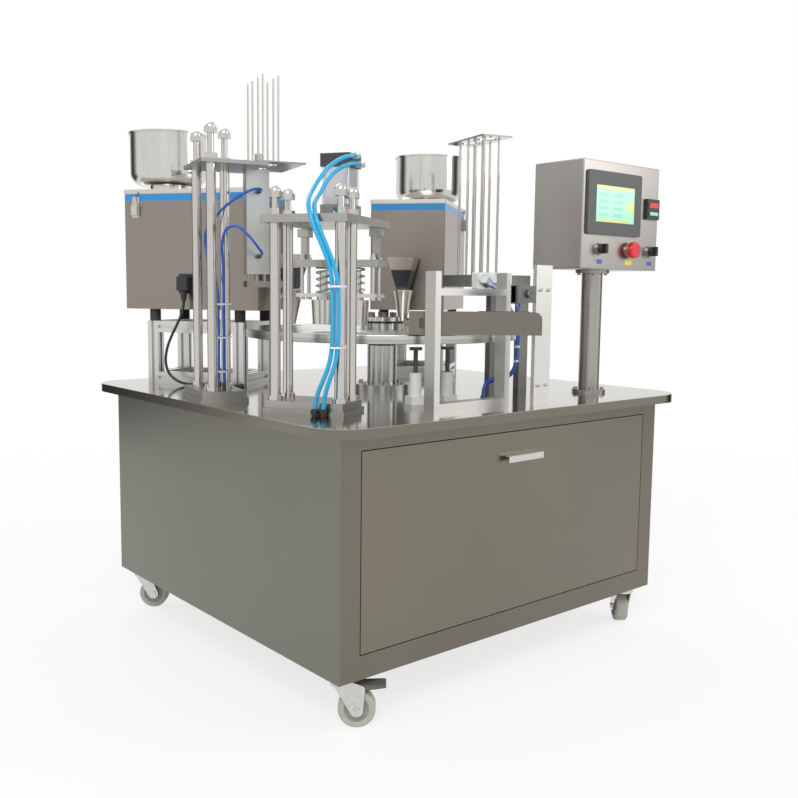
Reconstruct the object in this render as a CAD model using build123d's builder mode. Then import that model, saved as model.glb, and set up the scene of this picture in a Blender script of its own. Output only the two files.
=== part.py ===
from build123d import *
from math import cos, radians, sin
import os

os.makedirs("parts", exist_ok=True)

# Rotary cup filling and sealing machine, millimetres, +Z up.
# The origin lies on the floor under the middle of the cabinet, and the door faces -Y.

# Cabinet
CABINET_WIDTH = 1000.0
CABINET_DEPTH = 980.0
CASTER_HEIGHT = 105.0
FRAME_HEIGHT = 499.0
TUBE = 48.0
TUBE_WALL = 2.0
PANEL_SHEET = 2.0
FLOOR_SHEET = 3.0
DOOR_GAP = 2.0
DOOR_SHEET = 2.0
DOOR_RETURN = 18.0
HINGE_PIN_REACH = 6.0
HINGE_PIN_RADIUS = 2.0
HINGE_PIN_INSET = 4.5
RUNNING_CLEARANCE = 0.05
HANDLE_WIDTH = 112.0
HANDLE_HEIGHT = 14.0
HANDLE_REACH = 16.0
HANDLE_SHEET = 2.0
HANDLE_DROP = 50.0

# Table top
TABLE_OVERHANG = 52.0
TABLE_CORNER = 84.0
TABLE_SHEET = 3.0
TABLE_SKIRT = 20.0
SHAFT_HOLE_RADIUS = 30.0

# Casters
ROLLER_RADIUS = 37.5
ROLLER_WIDTH = 30.0
ROLLER_EDGE = 4.0
ROLLER_RECESS = 4.0
ROLLER_RECESS_RADIUS = 25.0
ROLLER_HUB_RADIUS = 12.0
HUB_WIDTH = 34.0
AXLE_RADIUS = 4.0
CASTER_TRAIL = 27.0
CASTER_INSET = 45.0
CASTER_PLATE = 76.0
CASTER_PLATE_THICK = 4.0
CASTER_BOSS_RADIUS = 24.0
CASTER_BOSS = 6.0
KINGPIN_RADIUS = 6.0
KINGPIN_HEAD_RADIUS = 10.0
KINGPIN_HEAD = 4.0
FORK_SHEET = 3.0
FORK_HEAD_RADIUS = 27.0
FORK_HEAD = 9.0
FORK_ARM_HALF = 17.0
FORK_EYE_RADIUS = 13.0
AXLE_HEAD_RADIUS = 7.0
AXLE_HEAD = 4.0
SEAT_GAP = 0.3
PEDAL_PIN_RADIUS = 3.0
PEDAL_EYE_RADIUS = 5.5
PEDAL_PIN_ALONG = 38.0
PEDAL_PIN_HEIGHT = 82.0
PEDAL_LENGTH = 44.0
PEDAL_TIP_RADIUS = 3.0
PEDAL_RISE = 4.0
CASTERS = ((-1, -1, -40.0), (1, -1, 50.0), (-1, 1, -40.0), (1, 1, -40.0))

# Turntable, its column and its drive
WHEEL_X = -55.0
WHEEL_Y = -70.0
DISC_RADIUS = 335.0
DISC_THICK = 20.0
DISC_LIFT = 136.0
DISC_EDGE = 2.0
POCKET_CIRCLE = 270.0
POCKET_RADIUS = 23.0
POCKET_RIM_RADIUS = 26.0
POCKET_RIM_DEPTH = 2.5
POCKET_HALF_ANGLE = 8.5
STATION_COUNT = 8
SPIGOT_RADIUS = 30.0
HUB_FLANGE_RADIUS = 60.0
HUB_FLANGE_THICK = 6.0
HUB_CAP_RADIUS = 43.0
HUB_CAP_THICK = 10.0
HUB_CAP_LIFT = 18.0
HUB_CORE_RADIUS = 40.0
HUB_RING_RADIUS = 55.0
HUB_STUD_CIRCLE = 49.0
HUB_STUD_RADIUS = 4.5
HUB_STUD_COUNT = 10
HUB_STUD_HEIGHT = 14.0
HUB_KNOB_CIRCLE = 31.0
HUB_KNOB_RADIUS = 6.0
HUB_KNOB_HEIGHT = 12.0
HUB_KNOB_COUNT = 6
SHAFT_RADIUS = 18.0
COLUMN_FLANGE_RADIUS = 70.0
COLUMN_FLANGE_THICK = 20.0
COLUMN_BOLT_CIRCLE = 56.0
COLUMN_BOLT_RADIUS = 6.0
COLUMN_BOLT_HEAD = 7.0
COLUMN_RADIUS = 37.0
COLUMN_BORE = 22.0
COLUMN_BOLT_COUNT = 6
COLUMN_RING_RADIUS = 34.0
COLUMN_HEIGHT = 115.0
GEARBOX_WIDTH = 170.0
GEARBOX_DEPTH = 150.0
GEARBOX_HEIGHT = 190.0
GEARBOX_EDGE = 8.0
GEARBOX_PLATE = 10.0
SHAFT_DEPTH = 80.0
GEARBOX_BOSS_RADIUS = 48.0
MOTOR_RADIUS = 62.0
MOTOR_LENGTH = 190.0
MOTOR_FLANGE_RADIUS = 70.0
MOTOR_FLANGE = 12.0
MOTOR_FIN_DEPTH = 5.0
MOTOR_FIN_COUNT = 8
MOTOR_FIN_THICK = 8.0
MOTOR_LIFT = 75.0
TERMINAL_BOX = 60.0
TERMINAL_HEIGHT = 36.0

# Stations: bearings from the wheel's centre, and posts with their plates
STATION_PITCH = 360.0 / STATION_COUNT
SEAL_BEARING = 210.0
LID_BEARING = SEAL_BEARING - STATION_PITCH
CUP_BEARING = LID_BEARING - 4 * STATION_PITCH
OUTPUT_BEARING = SEAL_BEARING + STATION_PITCH
BASE_LOWER = 9.0
BASE_UPPER = 15.0
BASE_STEP = 4.0
POST_RADIUS = 11.0
POST_COLLAR_RADIUS = 15.0
POST_COLLAR = 9.0
STUD_RADIUS = 7.0
NUT_FLATS = 26.0
NUT_HEIGHT = 13.0
DOME_RADIUS = 12.0
DOME_BODY = 12.0
DOME_DROP = 11.0

# Sealing station
PLATE_CORNER = 3.0
CAP_CORNER = 5.0
SEAL_POST_OUTER = 454.0
SEAL_POST_INNER = 396.0
SEAL_POST_HALF = 72.0
SEAL_POST_SHIFT = 8.0
SEAL_BASE_OUTER = 476.0
SEAL_BASE_INNER = 366.0
SEAL_BASE_HALF = 90.0
SEAL_PLATE_UNDER = 990.0
SEAL_PLATE_THICK = 16.0
SEAL_STUD = 46.0
SEAL_PLATE_INNER = 232.0
SEAL_PLATE_OUTER = 478.0
SEAL_PLATE_HALF = 94.0
CYLINDER_SIDE = 68.0
CYLINDER_FOOT = 34.0
CYLINDER_HEAD = 28.0
CYLINDER_HEIGHT = 142.0
BARREL_SIDE = 57.0
BARREL_BORE = 25.0
TIE_ROD_RADIUS = 4.0
TIE_ROD_SPREAD = 54.0
PISTON_ROD_RADIUS = 10.0
PISTON_THICK = 14.0
PISTON_DROP = 46.0
CROSSHEAD_DROP = 68.0
CROSSHEAD_THICK = 15.0
CROSSHEAD_HALF = 98.0
CROSSHEAD_DEPTH = 62.0
STOP_BLOCK = 26.0
STOP_BLOCK_HEIGHT = 18.0
STOP_BAR = 14.0
STOP_SPREAD = 85.0
HEAD_PLATE_THICK = 8.0
HEAD_PLATE_DROP = 58.0
HEAD_PLATE_HALF = 94.0
HEAD_PLATE_DEPTH = 54.0
HEAD_RADIUS = 27.0
HEAD_HEIGHT = 54.0
HEAD_EDGE = 2.0
HEAD_NECK_RADIUS = 15.0
HEAD_NECK = 6.0
GUIDE_ROD_RADIUS = 4.0
GUIDE_SPREAD = 84.0
GUIDE_DEPTH = 18.0
GUIDE_NUT_RADIUS = 6.5
GUIDE_NUT = 6.0
GUIDE_END = 6.0
HEAD_TAPER = 3.0
STEM_RADIUS = 9.0
STEM_DROP = 8.0
SPRING_RADIUS = 16.0
SPRING_WIRE = 2.0
SPRING_TURNS = 4.5

# Lid station
LID_POST_OUTER = 447.0
LID_POST_INNER = 399.0
LID_POST_HALF = 67.0
LID_POST_SHIFT = 12.0
LID_BASE_OUTER = 480.0
LID_BASE_INNER = 372.0
LID_BASE_HALF = 92.0
LID_PLATE_UNDER = 1127.0
LID_PLATE_THICK = 8.0
LID_STUD = 66.0
LID_PLATE_INNER = 322.0
LID_PLATE_OUTER = 472.0
LID_PLATE_HALF = 86.0
LID_PLATE_SHIFT = 12.0
LID_SHELF_THICK = 3.0
LID_SHELF_INNER = 236.0
LID_SHELF_OUTER = 350.0
LID_STACK_REACH = 305.0
LID_ROD_RADIUS = 2.5
LID_ROD_HEIGHT = 203.0
LID_ROD_SPREAD = 36.0
LID_WINDOW_RADIUS = 24.0
LID_KNOB_RADIUS = 9.0
LID_KNOB_HEIGHT = 16.0
LID_KNOB_SPREAD = 110.0
LID_KNOB_INSET = 14.0
LID_BODY_REACH = 322.0
LID_BODY_WIDTH = 28.0
LID_BODY_THICK = 54.0
LID_BODY_HEIGHT = 236.0
LID_GUIDE_RADIUS = 4.0
LID_GUIDE_SPREAD = 19.0
LID_PISTON_RADIUS = 5.0
LID_GUIDE_LENGTH = 100.0
LID_ARM_DROP = 16.0
LID_ARM_THICK = 14.0
LID_ARM_HALF = 54.0
LID_ARM_INNER = 252.0
SUCTION_STEM_RADIUS = 6.0
SUCTION_STEM = 12.0
SUCTION_RADIUS = 13.0
SUCTION_HEIGHT = 12.0

# Cup magazine
MAGAZINE_ROD_RADIUS = 3.0
MAGAZINE_ROD_SPREAD = 42.0
MAGAZINE_TOP = 1240.0
MAGAZINE_RING_THICK = 4.0
MAGAZINE_RING_DEPTH = 84.0
MAGAZINE_RING_WIDTH = 178.0
MAGAZINE_RING_BORE = 25.0
DENESTER_UNDER = 868.0
DENESTER_THICK = 30.0
DENESTER_INNER = 214.0
DENESTER_OUTER = 375.0
DENESTER_HALF = 88.0
DENESTER_BORE = 25.0
DENESTER_LEG = 25.0
DENESTER_LEG_REACH = 360.0
DENESTER_LEG_SPREAD = 72.0
SLIDE_WIDTH = 64.0
SLIDE_THICK = 6.0
SLIDE_FRONT = 78.0
SLIDE_REAR = 84.0
SLIDE_ROD_RADIUS = 2.9
SLIDE_ROD = 30.0
TWIN_REACH = 243.0
TWIN_WIDTH = 82.0
TWIN_HEIGHT = 40.0
TWIN_LENGTH = 26.0
TWIN_BORE = 14.0
TWIN_RECESS = 3.0

# Fillers: each stands on a pocket's centre and runs outward along its own axis
FILLERS = ((111.5, 124.5), (38.5, 37.0))
FILLER_REACH = 352.0
CASE_FRONT = 48.0
CASE_DEPTH = 376.0
CASE_WIDTH = 211.0
CASE_UNDER = 802.0
CASE_HEIGHT = 306.5
CASE_WALL = 2.0
CASE_EDGE = 4.0
COVER_HEIGHT = 9.0
COVER_LIP = 1.5
BOWL_RADIUS = 100.0
BOWL_HEIGHT = 152.0
BOWL_CORNER = 35.0
BOWL_WALL = 1.5
BOWL_LIP = 4.0
BOWL_NECK_RADIUS = 49.0
BOWL_NECK = 15.0
PROFILE = 30.0
PROFILE_SLOT = 8.0
PROFILE_SLOT_DEPTH = 6.0
STAND_LENGTH = 272.0
STAND_WIDTH = 190.0
STAND_START = 96.0
STAND_HEIGHT = 164.0
FOOT_RADIUS = 14.0
SPOUT_TOP = 946.0
SPOUT_WIDTH = 75.0
SPOUT_HEIGHT = 88.0
SPOUT_OUTLET = 30.0
SPOUT_WALL = 1.5
NECK_WIDTH = 44.0
NECK_HEIGHT = 20.0
NECK_DROP = 3.0
CONE_RADIUS = 29.5
CONE_FLANGE_RADIUS = 31.0
CONE_FLANGE = 2.0
CONE_OUTLET_RADIUS = 10.0
CONE_TAPER = 86.0
CONE_LIFT = 4.0
CONE_WALL = 1.5

# Output frame, chute, lifters and front post
OUT_FRAME_LEFT = -221.0
OUT_FRAME_FRONT = -442.0
OUT_FRAME_WIDTH = 228.0
OUT_FRAME_DEPTH = 31.0
OUT_POST = 16.0
OUT_POST_HEIGHT = 291.0
OUT_BAR = 15.0
OUT_BAR_LIFT = 241.0
CHUTE_X = -236.0
CHUTE_Y = -377.0
CHUTE_BEARING = -40.0
CHUTE_LENGTH = 280.0
CHUTE_FLOOR = 262.0
CHUTE_WIDTH = 60.0
CHUTE_HEIGHT = 49.0
CHUTE_SHEET = 1.5
CHUTE_OPEN = 150.0
CHUTE_LIFT = 3.0
CHUTE_CORNER = 16.0
CHUTE_BLOCK = 12.0
CHUTE_BLOCK_HEIGHT = 20.0
CHUTE_BLOCK_LIFT = 14.0
SENSOR_POST_X = 34.5
SENSOR_POST_Y = -507.0
SENSOR_POST_WIDTH = 51.0
SENSOR_POST_THICK = 10.0
SENSOR_POST_HEIGHT = 308.0
LIFTER_BASE = 34.0
LIFTER_BASE_HEIGHT = 18.0
LIFTER_RADIUS = 14.0
LIFTER_HEIGHT = 52.0
PUSHER_RADIUS = 14.5
PUSHER_THICK = 6.0
PUSHER_ROD_RADIUS = 5.0
PUSHER_ROD_DEPTH = 48.0
PUSHER_GAP = 10.0

# Control post and box
POLE_X = 366.0
POLE_Y = -382.0
POLE_RADIUS = 25.5
POLE_WALL = 2.0
POLE_FLANGE_RADIUS = 41.5
POLE_FLANGE = 8.0
POLE_BOLT_CIRCLE = 33.0
POLE_BOLT_RADIUS = 4.5
POLE_BOLT_HEAD = 5.0
BOX_X = 376.5
BOX_WIDTH = 301.0
BOX_DEPTH = 148.0
BOX_UNDER = 913.0
BOX_HEIGHT = 254.0
BOX_WALL = 1.5
BOX_EDGE = 3.0
BEZEL_LEFT = 14.0
BEZEL_TOP = 24.0
BEZEL_WIDTH = 207.0
BEZEL_HEIGHT = 149.0
BEZEL_THICK = 6.0
BEZEL_CORNER = 6.0
SCREEN_LEFT = 30.0
SCREEN_TOP = 33.0
SCREEN_WIDTH = 149.0
SCREEN_HEIGHT = 86.0
SCREEN_RECESS = 1.5
CONTROLLER_OFFSET = 270.0
CONTROLLER_LIFT = 152.0
CONTROLLER_SIDE = 50.0
CONTROLLER_THICK = 8.0
CONTROLLER_WINDOW = 38.0
SWITCH_LIFT = 48.0
STOP_OFFSET = 184.0
SELECTOR_OFFSETS = (69.0, 271.0)
SWITCH_RING_RADIUS = 15.0
SWITCH_RING = 5.0
SWITCH_STEM_RADIUS = 9.0
SWITCH_STEM_DEPTH = 12.0
MUSHROOM_RADIUS = 20.0
MUSHROOM_HEIGHT = 14.0
MUSHROOM_EDGE = 5.0
STOP_TRAVEL = 4.0
KNOB_RADIUS = 11.5
KNOB_HEIGHT = 9.0
KNOB_GRIP = 7.0
KNOB_GRIP_HEIGHT = 9.0

# Levels and places that follow from the sizes above
TABLE_TOP = CASTER_HEIGHT + FRAME_HEIGHT + TABLE_SHEET
FRAME_TOP = CASTER_HEIGHT + FRAME_HEIGHT
FRAME_HALF_X = CABINET_WIDTH / 2 - PANEL_SHEET
FRAME_FRONT = -CABINET_DEPTH / 2
FRAME_REAR = CABINET_DEPTH / 2 - PANEL_SHEET
DISC_BOTTOM = TABLE_TOP + DISC_LIFT
DISC_TOP = DISC_BOTTOM + DISC_THICK
BASE_TOP = TABLE_TOP + BASE_LOWER + BASE_UPPER
WHEEL = (WHEEL_X, WHEEL_Y)
LANE_REACH = POCKET_CIRCLE * cos(radians(POCKET_HALF_ANGLE))
LANE_SPREAD = POCKET_CIRCLE * sin(radians(POCKET_HALF_ANGLE))
LANES = (-LANE_SPREAD, LANE_SPREAD)


def station(bearing, level, radius=0.0, across=0.0):
    """A level plane at a station: its x runs outward from the wheel's centre."""
    outward = Vector(cos(radians(bearing)), sin(radians(bearing)))
    sideways = Vector(-sin(radians(bearing)), cos(radians(bearing)))
    centre = Vector(WHEEL_X, WHEEL_Y, level) + outward * radius + sideways * across
    return Plane(origin=centre, x_dir=outward, z_dir=(0, 0, 1))


def upright(x, y, bearing):
    """An upright plane through a point: its x runs along the bearing and its y straight up."""
    along = Vector(cos(radians(bearing)), sin(radians(bearing)))
    return Plane(origin=(x, y, 0), x_dir=along, z_dir=Vector(along.Y, -along.X))


def planted(x, y, bearing, height):
    """A level plane at a point: its x runs along the bearing."""
    along = Vector(cos(radians(bearing)), sin(radians(bearing)))
    return Plane(origin=(x, y, height), x_dir=along, z_dir=(0, 0, 1))


def bar(plane, width, depth, height, centre=(0.0, 0.0), mode=Mode.ADD):
    """A plain bar that stands on a plane."""
    with BuildSketch(plane) as outline:
        with Locations(centre):
            Rectangle(width, depth)
    extrude(outline.sketch, amount=height, mode=mode)


def rod(plane, radius, height, centre=(0.0, 0.0), mode=Mode.ADD):
    """A round rod that stands on a plane, or a bore with Mode.SUBTRACT."""
    with BuildSketch(plane) as outline:
        with Locations(centre):
            Circle(radius)
    extrude(outline.sketch, amount=height, mode=mode)


def level(height):
    return Plane.XY.offset(height)


def save(name, piece):
    piece.part.label = name
    export_step(piece.part, f"parts/{name}.step")


# Door levels, which the frame also needs for its pins
DOOR_LEFT = -FRAME_HALF_X + TUBE + DOOR_GAP
DOOR_WIDTH = 2 * (FRAME_HALF_X - TUBE - DOOR_GAP)
DOOR_UNDER = CASTER_HEIGHT + TUBE + DOOR_GAP
DOOR_HEIGHT = FRAME_HEIGHT - 2 * TUBE - 2 * DOOR_GAP
HINGE_AXIS = (FRAME_FRONT + HINGE_PIN_INSET, DOOR_UNDER + HINGE_PIN_INSET)
HANDLE_TOP = DOOR_UNDER + DOOR_HEIGHT - HANDLE_DROP

# Cabinet frame: posts, rails and two table beams of square tube, a floor sheet and the pins of the door
POST_SPAN_X = 2 * FRAME_HALF_X - TUBE
POST_SPAN_Y = FRAME_REAR - FRAME_FRONT - TUBE
FRAME_MID_Y = (FRAME_REAR + FRAME_FRONT) / 2
BEAM_SPREAD = GEARBOX_WIDTH / 2 + TUBE / 2 + SEAT_GAP
RAIL_LEVELS = (CASTER_HEIGHT + TUBE / 2, FRAME_TOP - TUBE / 2)


def tube_section():
    Rectangle(TUBE, TUBE)
    Rectangle(TUBE - 2 * TUBE_WALL, TUBE - 2 * TUBE_WALL, mode=Mode.SUBTRACT)


with BuildPart() as cabinet_frame:
    with BuildSketch(Plane.XY.offset(CASTER_HEIGHT)):
        with Locations((0, FRAME_MID_Y)):
            with GridLocations(POST_SPAN_X, POST_SPAN_Y, 2, 2):
                tube_section()
    extrude(amount=FRAME_HEIGHT)
    with BuildSketch(Plane.YZ.offset(-POST_SPAN_X / 2 + TUBE / 2)):
        for rail in RAIL_LEVELS:
            for y in (FRAME_FRONT + TUBE / 2, FRAME_REAR - TUBE / 2):
                with Locations((y, rail)):
                    tube_section()
    extrude(amount=POST_SPAN_X - TUBE)
    with BuildSketch(Plane.XZ.offset(-FRAME_FRONT - TUBE)):
        for rail in RAIL_LEVELS:
            for x in (-POST_SPAN_X / 2, POST_SPAN_X / 2):
                with Locations((x, rail)):
                    tube_section()
        for x in (WHEEL_X - BEAM_SPREAD, WHEEL_X + BEAM_SPREAD):
            with Locations((x, RAIL_LEVELS[1])):
                tube_section()
    extrude(amount=-(POST_SPAN_Y - TUBE))
    with BuildSketch(Plane.XY.offset(CASTER_HEIGHT)):
        with Locations((0, FRAME_MID_Y)):
            Rectangle(POST_SPAN_X - TUBE, POST_SPAN_Y - TUBE)
    extrude(amount=FLOOR_SHEET)
    pin_length = DOOR_GAP + DOOR_SHEET + HINGE_PIN_REACH
    for foot in (DOOR_LEFT - DOOR_GAP, DOOR_LEFT + DOOR_WIDTH + DOOR_GAP - pin_length):
        rod(Plane.YZ.offset(foot), HINGE_PIN_RADIUS, pin_length, HINGE_AXIS)
save("cabinet_frame", cabinet_frame)

# Side and rear panels: flat sheets screwed to the frame
with BuildPart() as body_panels:
    with BuildSketch(Plane.XY.offset(CASTER_HEIGHT)):
        for x in (-CABINET_WIDTH / 2 + PANEL_SHEET / 2, CABINET_WIDTH / 2 - PANEL_SHEET / 2):
            with Locations((x, 0)):
                Rectangle(PANEL_SHEET, CABINET_DEPTH)
        with Locations((0, CABINET_DEPTH / 2 - PANEL_SHEET / 2)):
            Rectangle(2 * FRAME_HALF_X, PANEL_SHEET)
    extrude(amount=FRAME_HEIGHT)
save("body_panels", body_panels)

# Table top: a sheet with its edge turned down all round
with BuildPart() as table_top:
    with BuildSketch(Plane.XY.offset(TABLE_TOP - TABLE_SKIRT)):
        RectangleRounded(
            CABINET_WIDTH + 2 * TABLE_OVERHANG, CABINET_DEPTH + 2 * TABLE_OVERHANG, TABLE_CORNER
        )
    extrude(amount=TABLE_SKIRT)
    with BuildSketch(Plane.XY.offset(TABLE_TOP - TABLE_SKIRT)):
        RectangleRounded(
            CABINET_WIDTH + 2 * (TABLE_OVERHANG - TABLE_SHEET),
            CABINET_DEPTH + 2 * (TABLE_OVERHANG - TABLE_SHEET),
            TABLE_CORNER - TABLE_SHEET,
        )
    extrude(amount=TABLE_SKIRT - TABLE_SHEET, mode=Mode.SUBTRACT)
    rod(Plane.XY.offset(FRAME_TOP), SHAFT_HOLE_RADIUS, TABLE_SHEET, (WHEEL_X, WHEEL_Y), Mode.SUBTRACT)
save("table_top", table_top)

# Access door: a pan that drops forward on two pins at its lower edge
with BuildPart() as access_door:
    bar(level(DOOR_UNDER), DOOR_WIDTH, DOOR_RETURN, DOOR_HEIGHT, (0, FRAME_FRONT + DOOR_RETURN / 2))
    bar(
        level(DOOR_UNDER + DOOR_SHEET),
        DOOR_WIDTH - 2 * DOOR_SHEET,
        DOOR_RETURN,
        DOOR_HEIGHT - 2 * DOOR_SHEET,
        (0, FRAME_FRONT + DOOR_SHEET + DOOR_RETURN / 2),
        Mode.SUBTRACT,
    )
    rod(
        Plane.YZ.offset(DOOR_LEFT),
        HINGE_PIN_RADIUS + RUNNING_CLEARANCE,
        DOOR_WIDTH,
        HINGE_AXIS,
        Mode.SUBTRACT,
    )
    with BuildSketch(Plane.YZ.offset(-HANDLE_WIDTH / 2)):
        with BuildLine():
            Polyline(
                (FRAME_FRONT, HANDLE_TOP),
                (FRAME_FRONT - HANDLE_REACH, HANDLE_TOP),
                (FRAME_FRONT - HANDLE_REACH, HANDLE_TOP - HANDLE_HEIGHT),
                (FRAME_FRONT - HANDLE_REACH + HANDLE_SHEET, HANDLE_TOP - HANDLE_HEIGHT),
                (FRAME_FRONT - HANDLE_REACH + HANDLE_SHEET, HANDLE_TOP - HANDLE_SHEET),
                (FRAME_FRONT, HANDLE_TOP - HANDLE_SHEET),
                close=True,
            )
        make_face()
    extrude(amount=HANDLE_WIDTH)
save("access_door", access_door)

# Casters: a plate under each corner, a fork that swivels under it, a wheel and, in front, a brake pedal
SWIVEL_X = CABINET_WIDTH / 2 - CASTER_INSET
SWIVEL_Y = CABINET_DEPTH / 2 - CASTER_INSET
PLATE_UNDER = CASTER_HEIGHT - CASTER_PLATE_THICK
BOSS_UNDER = PLATE_UNDER - CASTER_BOSS
FORK_TOP = BOSS_UNDER - SEAT_GAP
FORK_UNDER = FORK_TOP - FORK_HEAD
KINGPIN_UNDER = FORK_UNDER - SEAT_GAP - KINGPIN_HEAD
ARM_INSIDE = HUB_WIDTH / 2 + SEAT_GAP
ARM_OUTSIDE = ARM_INSIDE + FORK_SHEET
AXLE_AT = (CASTER_TRAIL, ROLLER_RADIUS)
PEDAL_AT = (PEDAL_PIN_ALONG, PEDAL_PIN_HEIGHT)

with BuildPart() as caster_plates:
    for side, end, trail in CASTERS:
        swivel = (side * SWIVEL_X, end * SWIVEL_Y)
        bar(level(PLATE_UNDER), CASTER_PLATE, CASTER_PLATE, CASTER_PLATE_THICK, swivel)
        rod(level(BOSS_UNDER), CASTER_BOSS_RADIUS, CASTER_BOSS, swivel)
        rod(level(KINGPIN_UNDER), KINGPIN_RADIUS, BOSS_UNDER - KINGPIN_UNDER, swivel)
        rod(level(KINGPIN_UNDER), KINGPIN_HEAD_RADIUS, KINGPIN_HEAD, swivel)
save("caster_plates", caster_plates)

for number, (side, end, trail) in enumerate(CASTERS, 1):
    swivel = (side * SWIVEL_X, end * SWIVEL_Y)
    rolling = upright(*swivel, trail)
    with BuildPart() as caster_fork:
        rod(level(FORK_UNDER), FORK_HEAD_RADIUS, FORK_HEAD, swivel)
        for face in (ARM_INSIDE, -ARM_OUTSIDE):
            with BuildSketch(rolling.offset(face)):
                with Locations((0, FORK_UNDER + FORK_HEAD / 2)):
                    Rectangle(2 * FORK_ARM_HALF, FORK_HEAD)
                with Locations(AXLE_AT):
                    Circle(FORK_EYE_RADIUS)
                if end < 0:
                    with Locations(PEDAL_AT):
                        Circle(PEDAL_EYE_RADIUS)
                make_hull()
            extrude(amount=FORK_SHEET)
        rod(level(FORK_UNDER), KINGPIN_RADIUS + RUNNING_CLEARANCE, FORK_HEAD, swivel, Mode.SUBTRACT)
        rod(rolling.offset(-ARM_OUTSIDE), AXLE_RADIUS, 2 * ARM_OUTSIDE, AXLE_AT)
        rod(rolling.offset(ARM_OUTSIDE), AXLE_HEAD_RADIUS, AXLE_HEAD, AXLE_AT)
        rod(rolling.offset(-ARM_OUTSIDE - AXLE_HEAD), AXLE_HEAD_RADIUS, AXLE_HEAD, AXLE_AT)
        if end < 0:
            rod(rolling.offset(-ARM_OUTSIDE), PEDAL_PIN_RADIUS, 2 * ARM_OUTSIDE, PEDAL_AT)
    save(f"caster_fork_{number}", caster_fork)

    with BuildPart() as caster_wheel:
        rod(rolling.offset(-ROLLER_WIDTH / 2), ROLLER_RADIUS, ROLLER_WIDTH, AXLE_AT)
        fillet(caster_wheel.edges().filter_by(GeomType.CIRCLE), ROLLER_EDGE)
        for face, depth in ((ROLLER_WIDTH / 2, -ROLLER_RECESS), (-ROLLER_WIDTH / 2, ROLLER_RECESS)):
            rod(rolling.offset(face), ROLLER_RECESS_RADIUS, depth, AXLE_AT, Mode.SUBTRACT)
        rod(rolling.offset(-HUB_WIDTH / 2), ROLLER_HUB_RADIUS, HUB_WIDTH, AXLE_AT)
        bore = AXLE_RADIUS + RUNNING_CLEARANCE
        rod(rolling.offset(-HUB_WIDTH / 2), bore, HUB_WIDTH, AXLE_AT, Mode.SUBTRACT)
    save(f"caster_wheel_{number}", caster_wheel)

    if end < 0:
        pedal_half = ARM_INSIDE - SEAT_GAP
        with BuildPart() as brake_pedal:
            with BuildSketch(rolling.offset(-pedal_half)):
                with Locations(PEDAL_AT):
                    Circle(PEDAL_EYE_RADIUS)
                with Locations((PEDAL_PIN_ALONG + PEDAL_LENGTH, PEDAL_PIN_HEIGHT + PEDAL_RISE)):
                    Circle(PEDAL_TIP_RADIUS)
                make_hull()
                with Locations(PEDAL_AT):
                    Circle(PEDAL_PIN_RADIUS + RUNNING_CLEARANCE, mode=Mode.SUBTRACT)
            extrude(amount=2 * pedal_half)
        save(f"brake_pedal_{number}", brake_pedal)

# Index column: a flanged tube on the table, with the bearing ring of the turntable on top
RING_BOTTOM = TABLE_TOP + COLUMN_HEIGHT
RING_TOP = DISC_BOTTOM - HUB_FLANGE_THICK - SEAT_GAP
with BuildPart() as index_column:
    rod(level(TABLE_TOP), COLUMN_FLANGE_RADIUS, COLUMN_FLANGE_THICK, WHEEL)
    rod(level(TABLE_TOP), COLUMN_RADIUS, COLUMN_HEIGHT, WHEEL)
    with BuildSketch(level(TABLE_TOP + COLUMN_FLANGE_THICK)):
        with Locations(WHEEL):
            with PolarLocations(COLUMN_BOLT_CIRCLE, COLUMN_BOLT_COUNT):
                Circle(COLUMN_BOLT_RADIUS)
    extrude(amount=COLUMN_BOLT_HEAD)
    rod(level(TABLE_TOP), COLUMN_BORE, COLUMN_HEIGHT, WHEEL, Mode.SUBTRACT)
save("index_column", index_column)

with BuildPart() as column_ring:
    rod(level(RING_BOTTOM), COLUMN_RING_RADIUS, RING_TOP - RING_BOTTOM, WHEEL)
    ring_bore = SHAFT_RADIUS + RUNNING_CLEARANCE
    rod(level(RING_BOTTOM), ring_bore, RING_TOP - RING_BOTTOM, WHEEL, Mode.SUBTRACT)
save("column_ring", column_ring)

# Index gearbox, hung by its top plate from the two beams of the frame
GEARBOX_TOP = FRAME_TOP - TUBE
SHAFT_FOOT = GEARBOX_TOP - SHAFT_DEPTH
with BuildPart() as index_gearbox:
    bar(level(GEARBOX_TOP - GEARBOX_HEIGHT), GEARBOX_WIDTH, GEARBOX_DEPTH, GEARBOX_HEIGHT, WHEEL)
    fillet(index_gearbox.edges().filter_by(Axis.Z), GEARBOX_EDGE)
    plate_width = 2 * BEAM_SPREAD + TUBE
    bar(level(GEARBOX_TOP - GEARBOX_PLATE), plate_width, GEARBOX_DEPTH, GEARBOX_PLATE, WHEEL)
    rod(level(GEARBOX_TOP), GEARBOX_BOSS_RADIUS, TUBE - SEAT_GAP, WHEEL)
    rod(level(SHAFT_FOOT - SEAT_GAP), ring_bore, FRAME_TOP - SHAFT_FOOT, WHEEL, Mode.SUBTRACT)
save("index_gearbox", index_gearbox)

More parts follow.
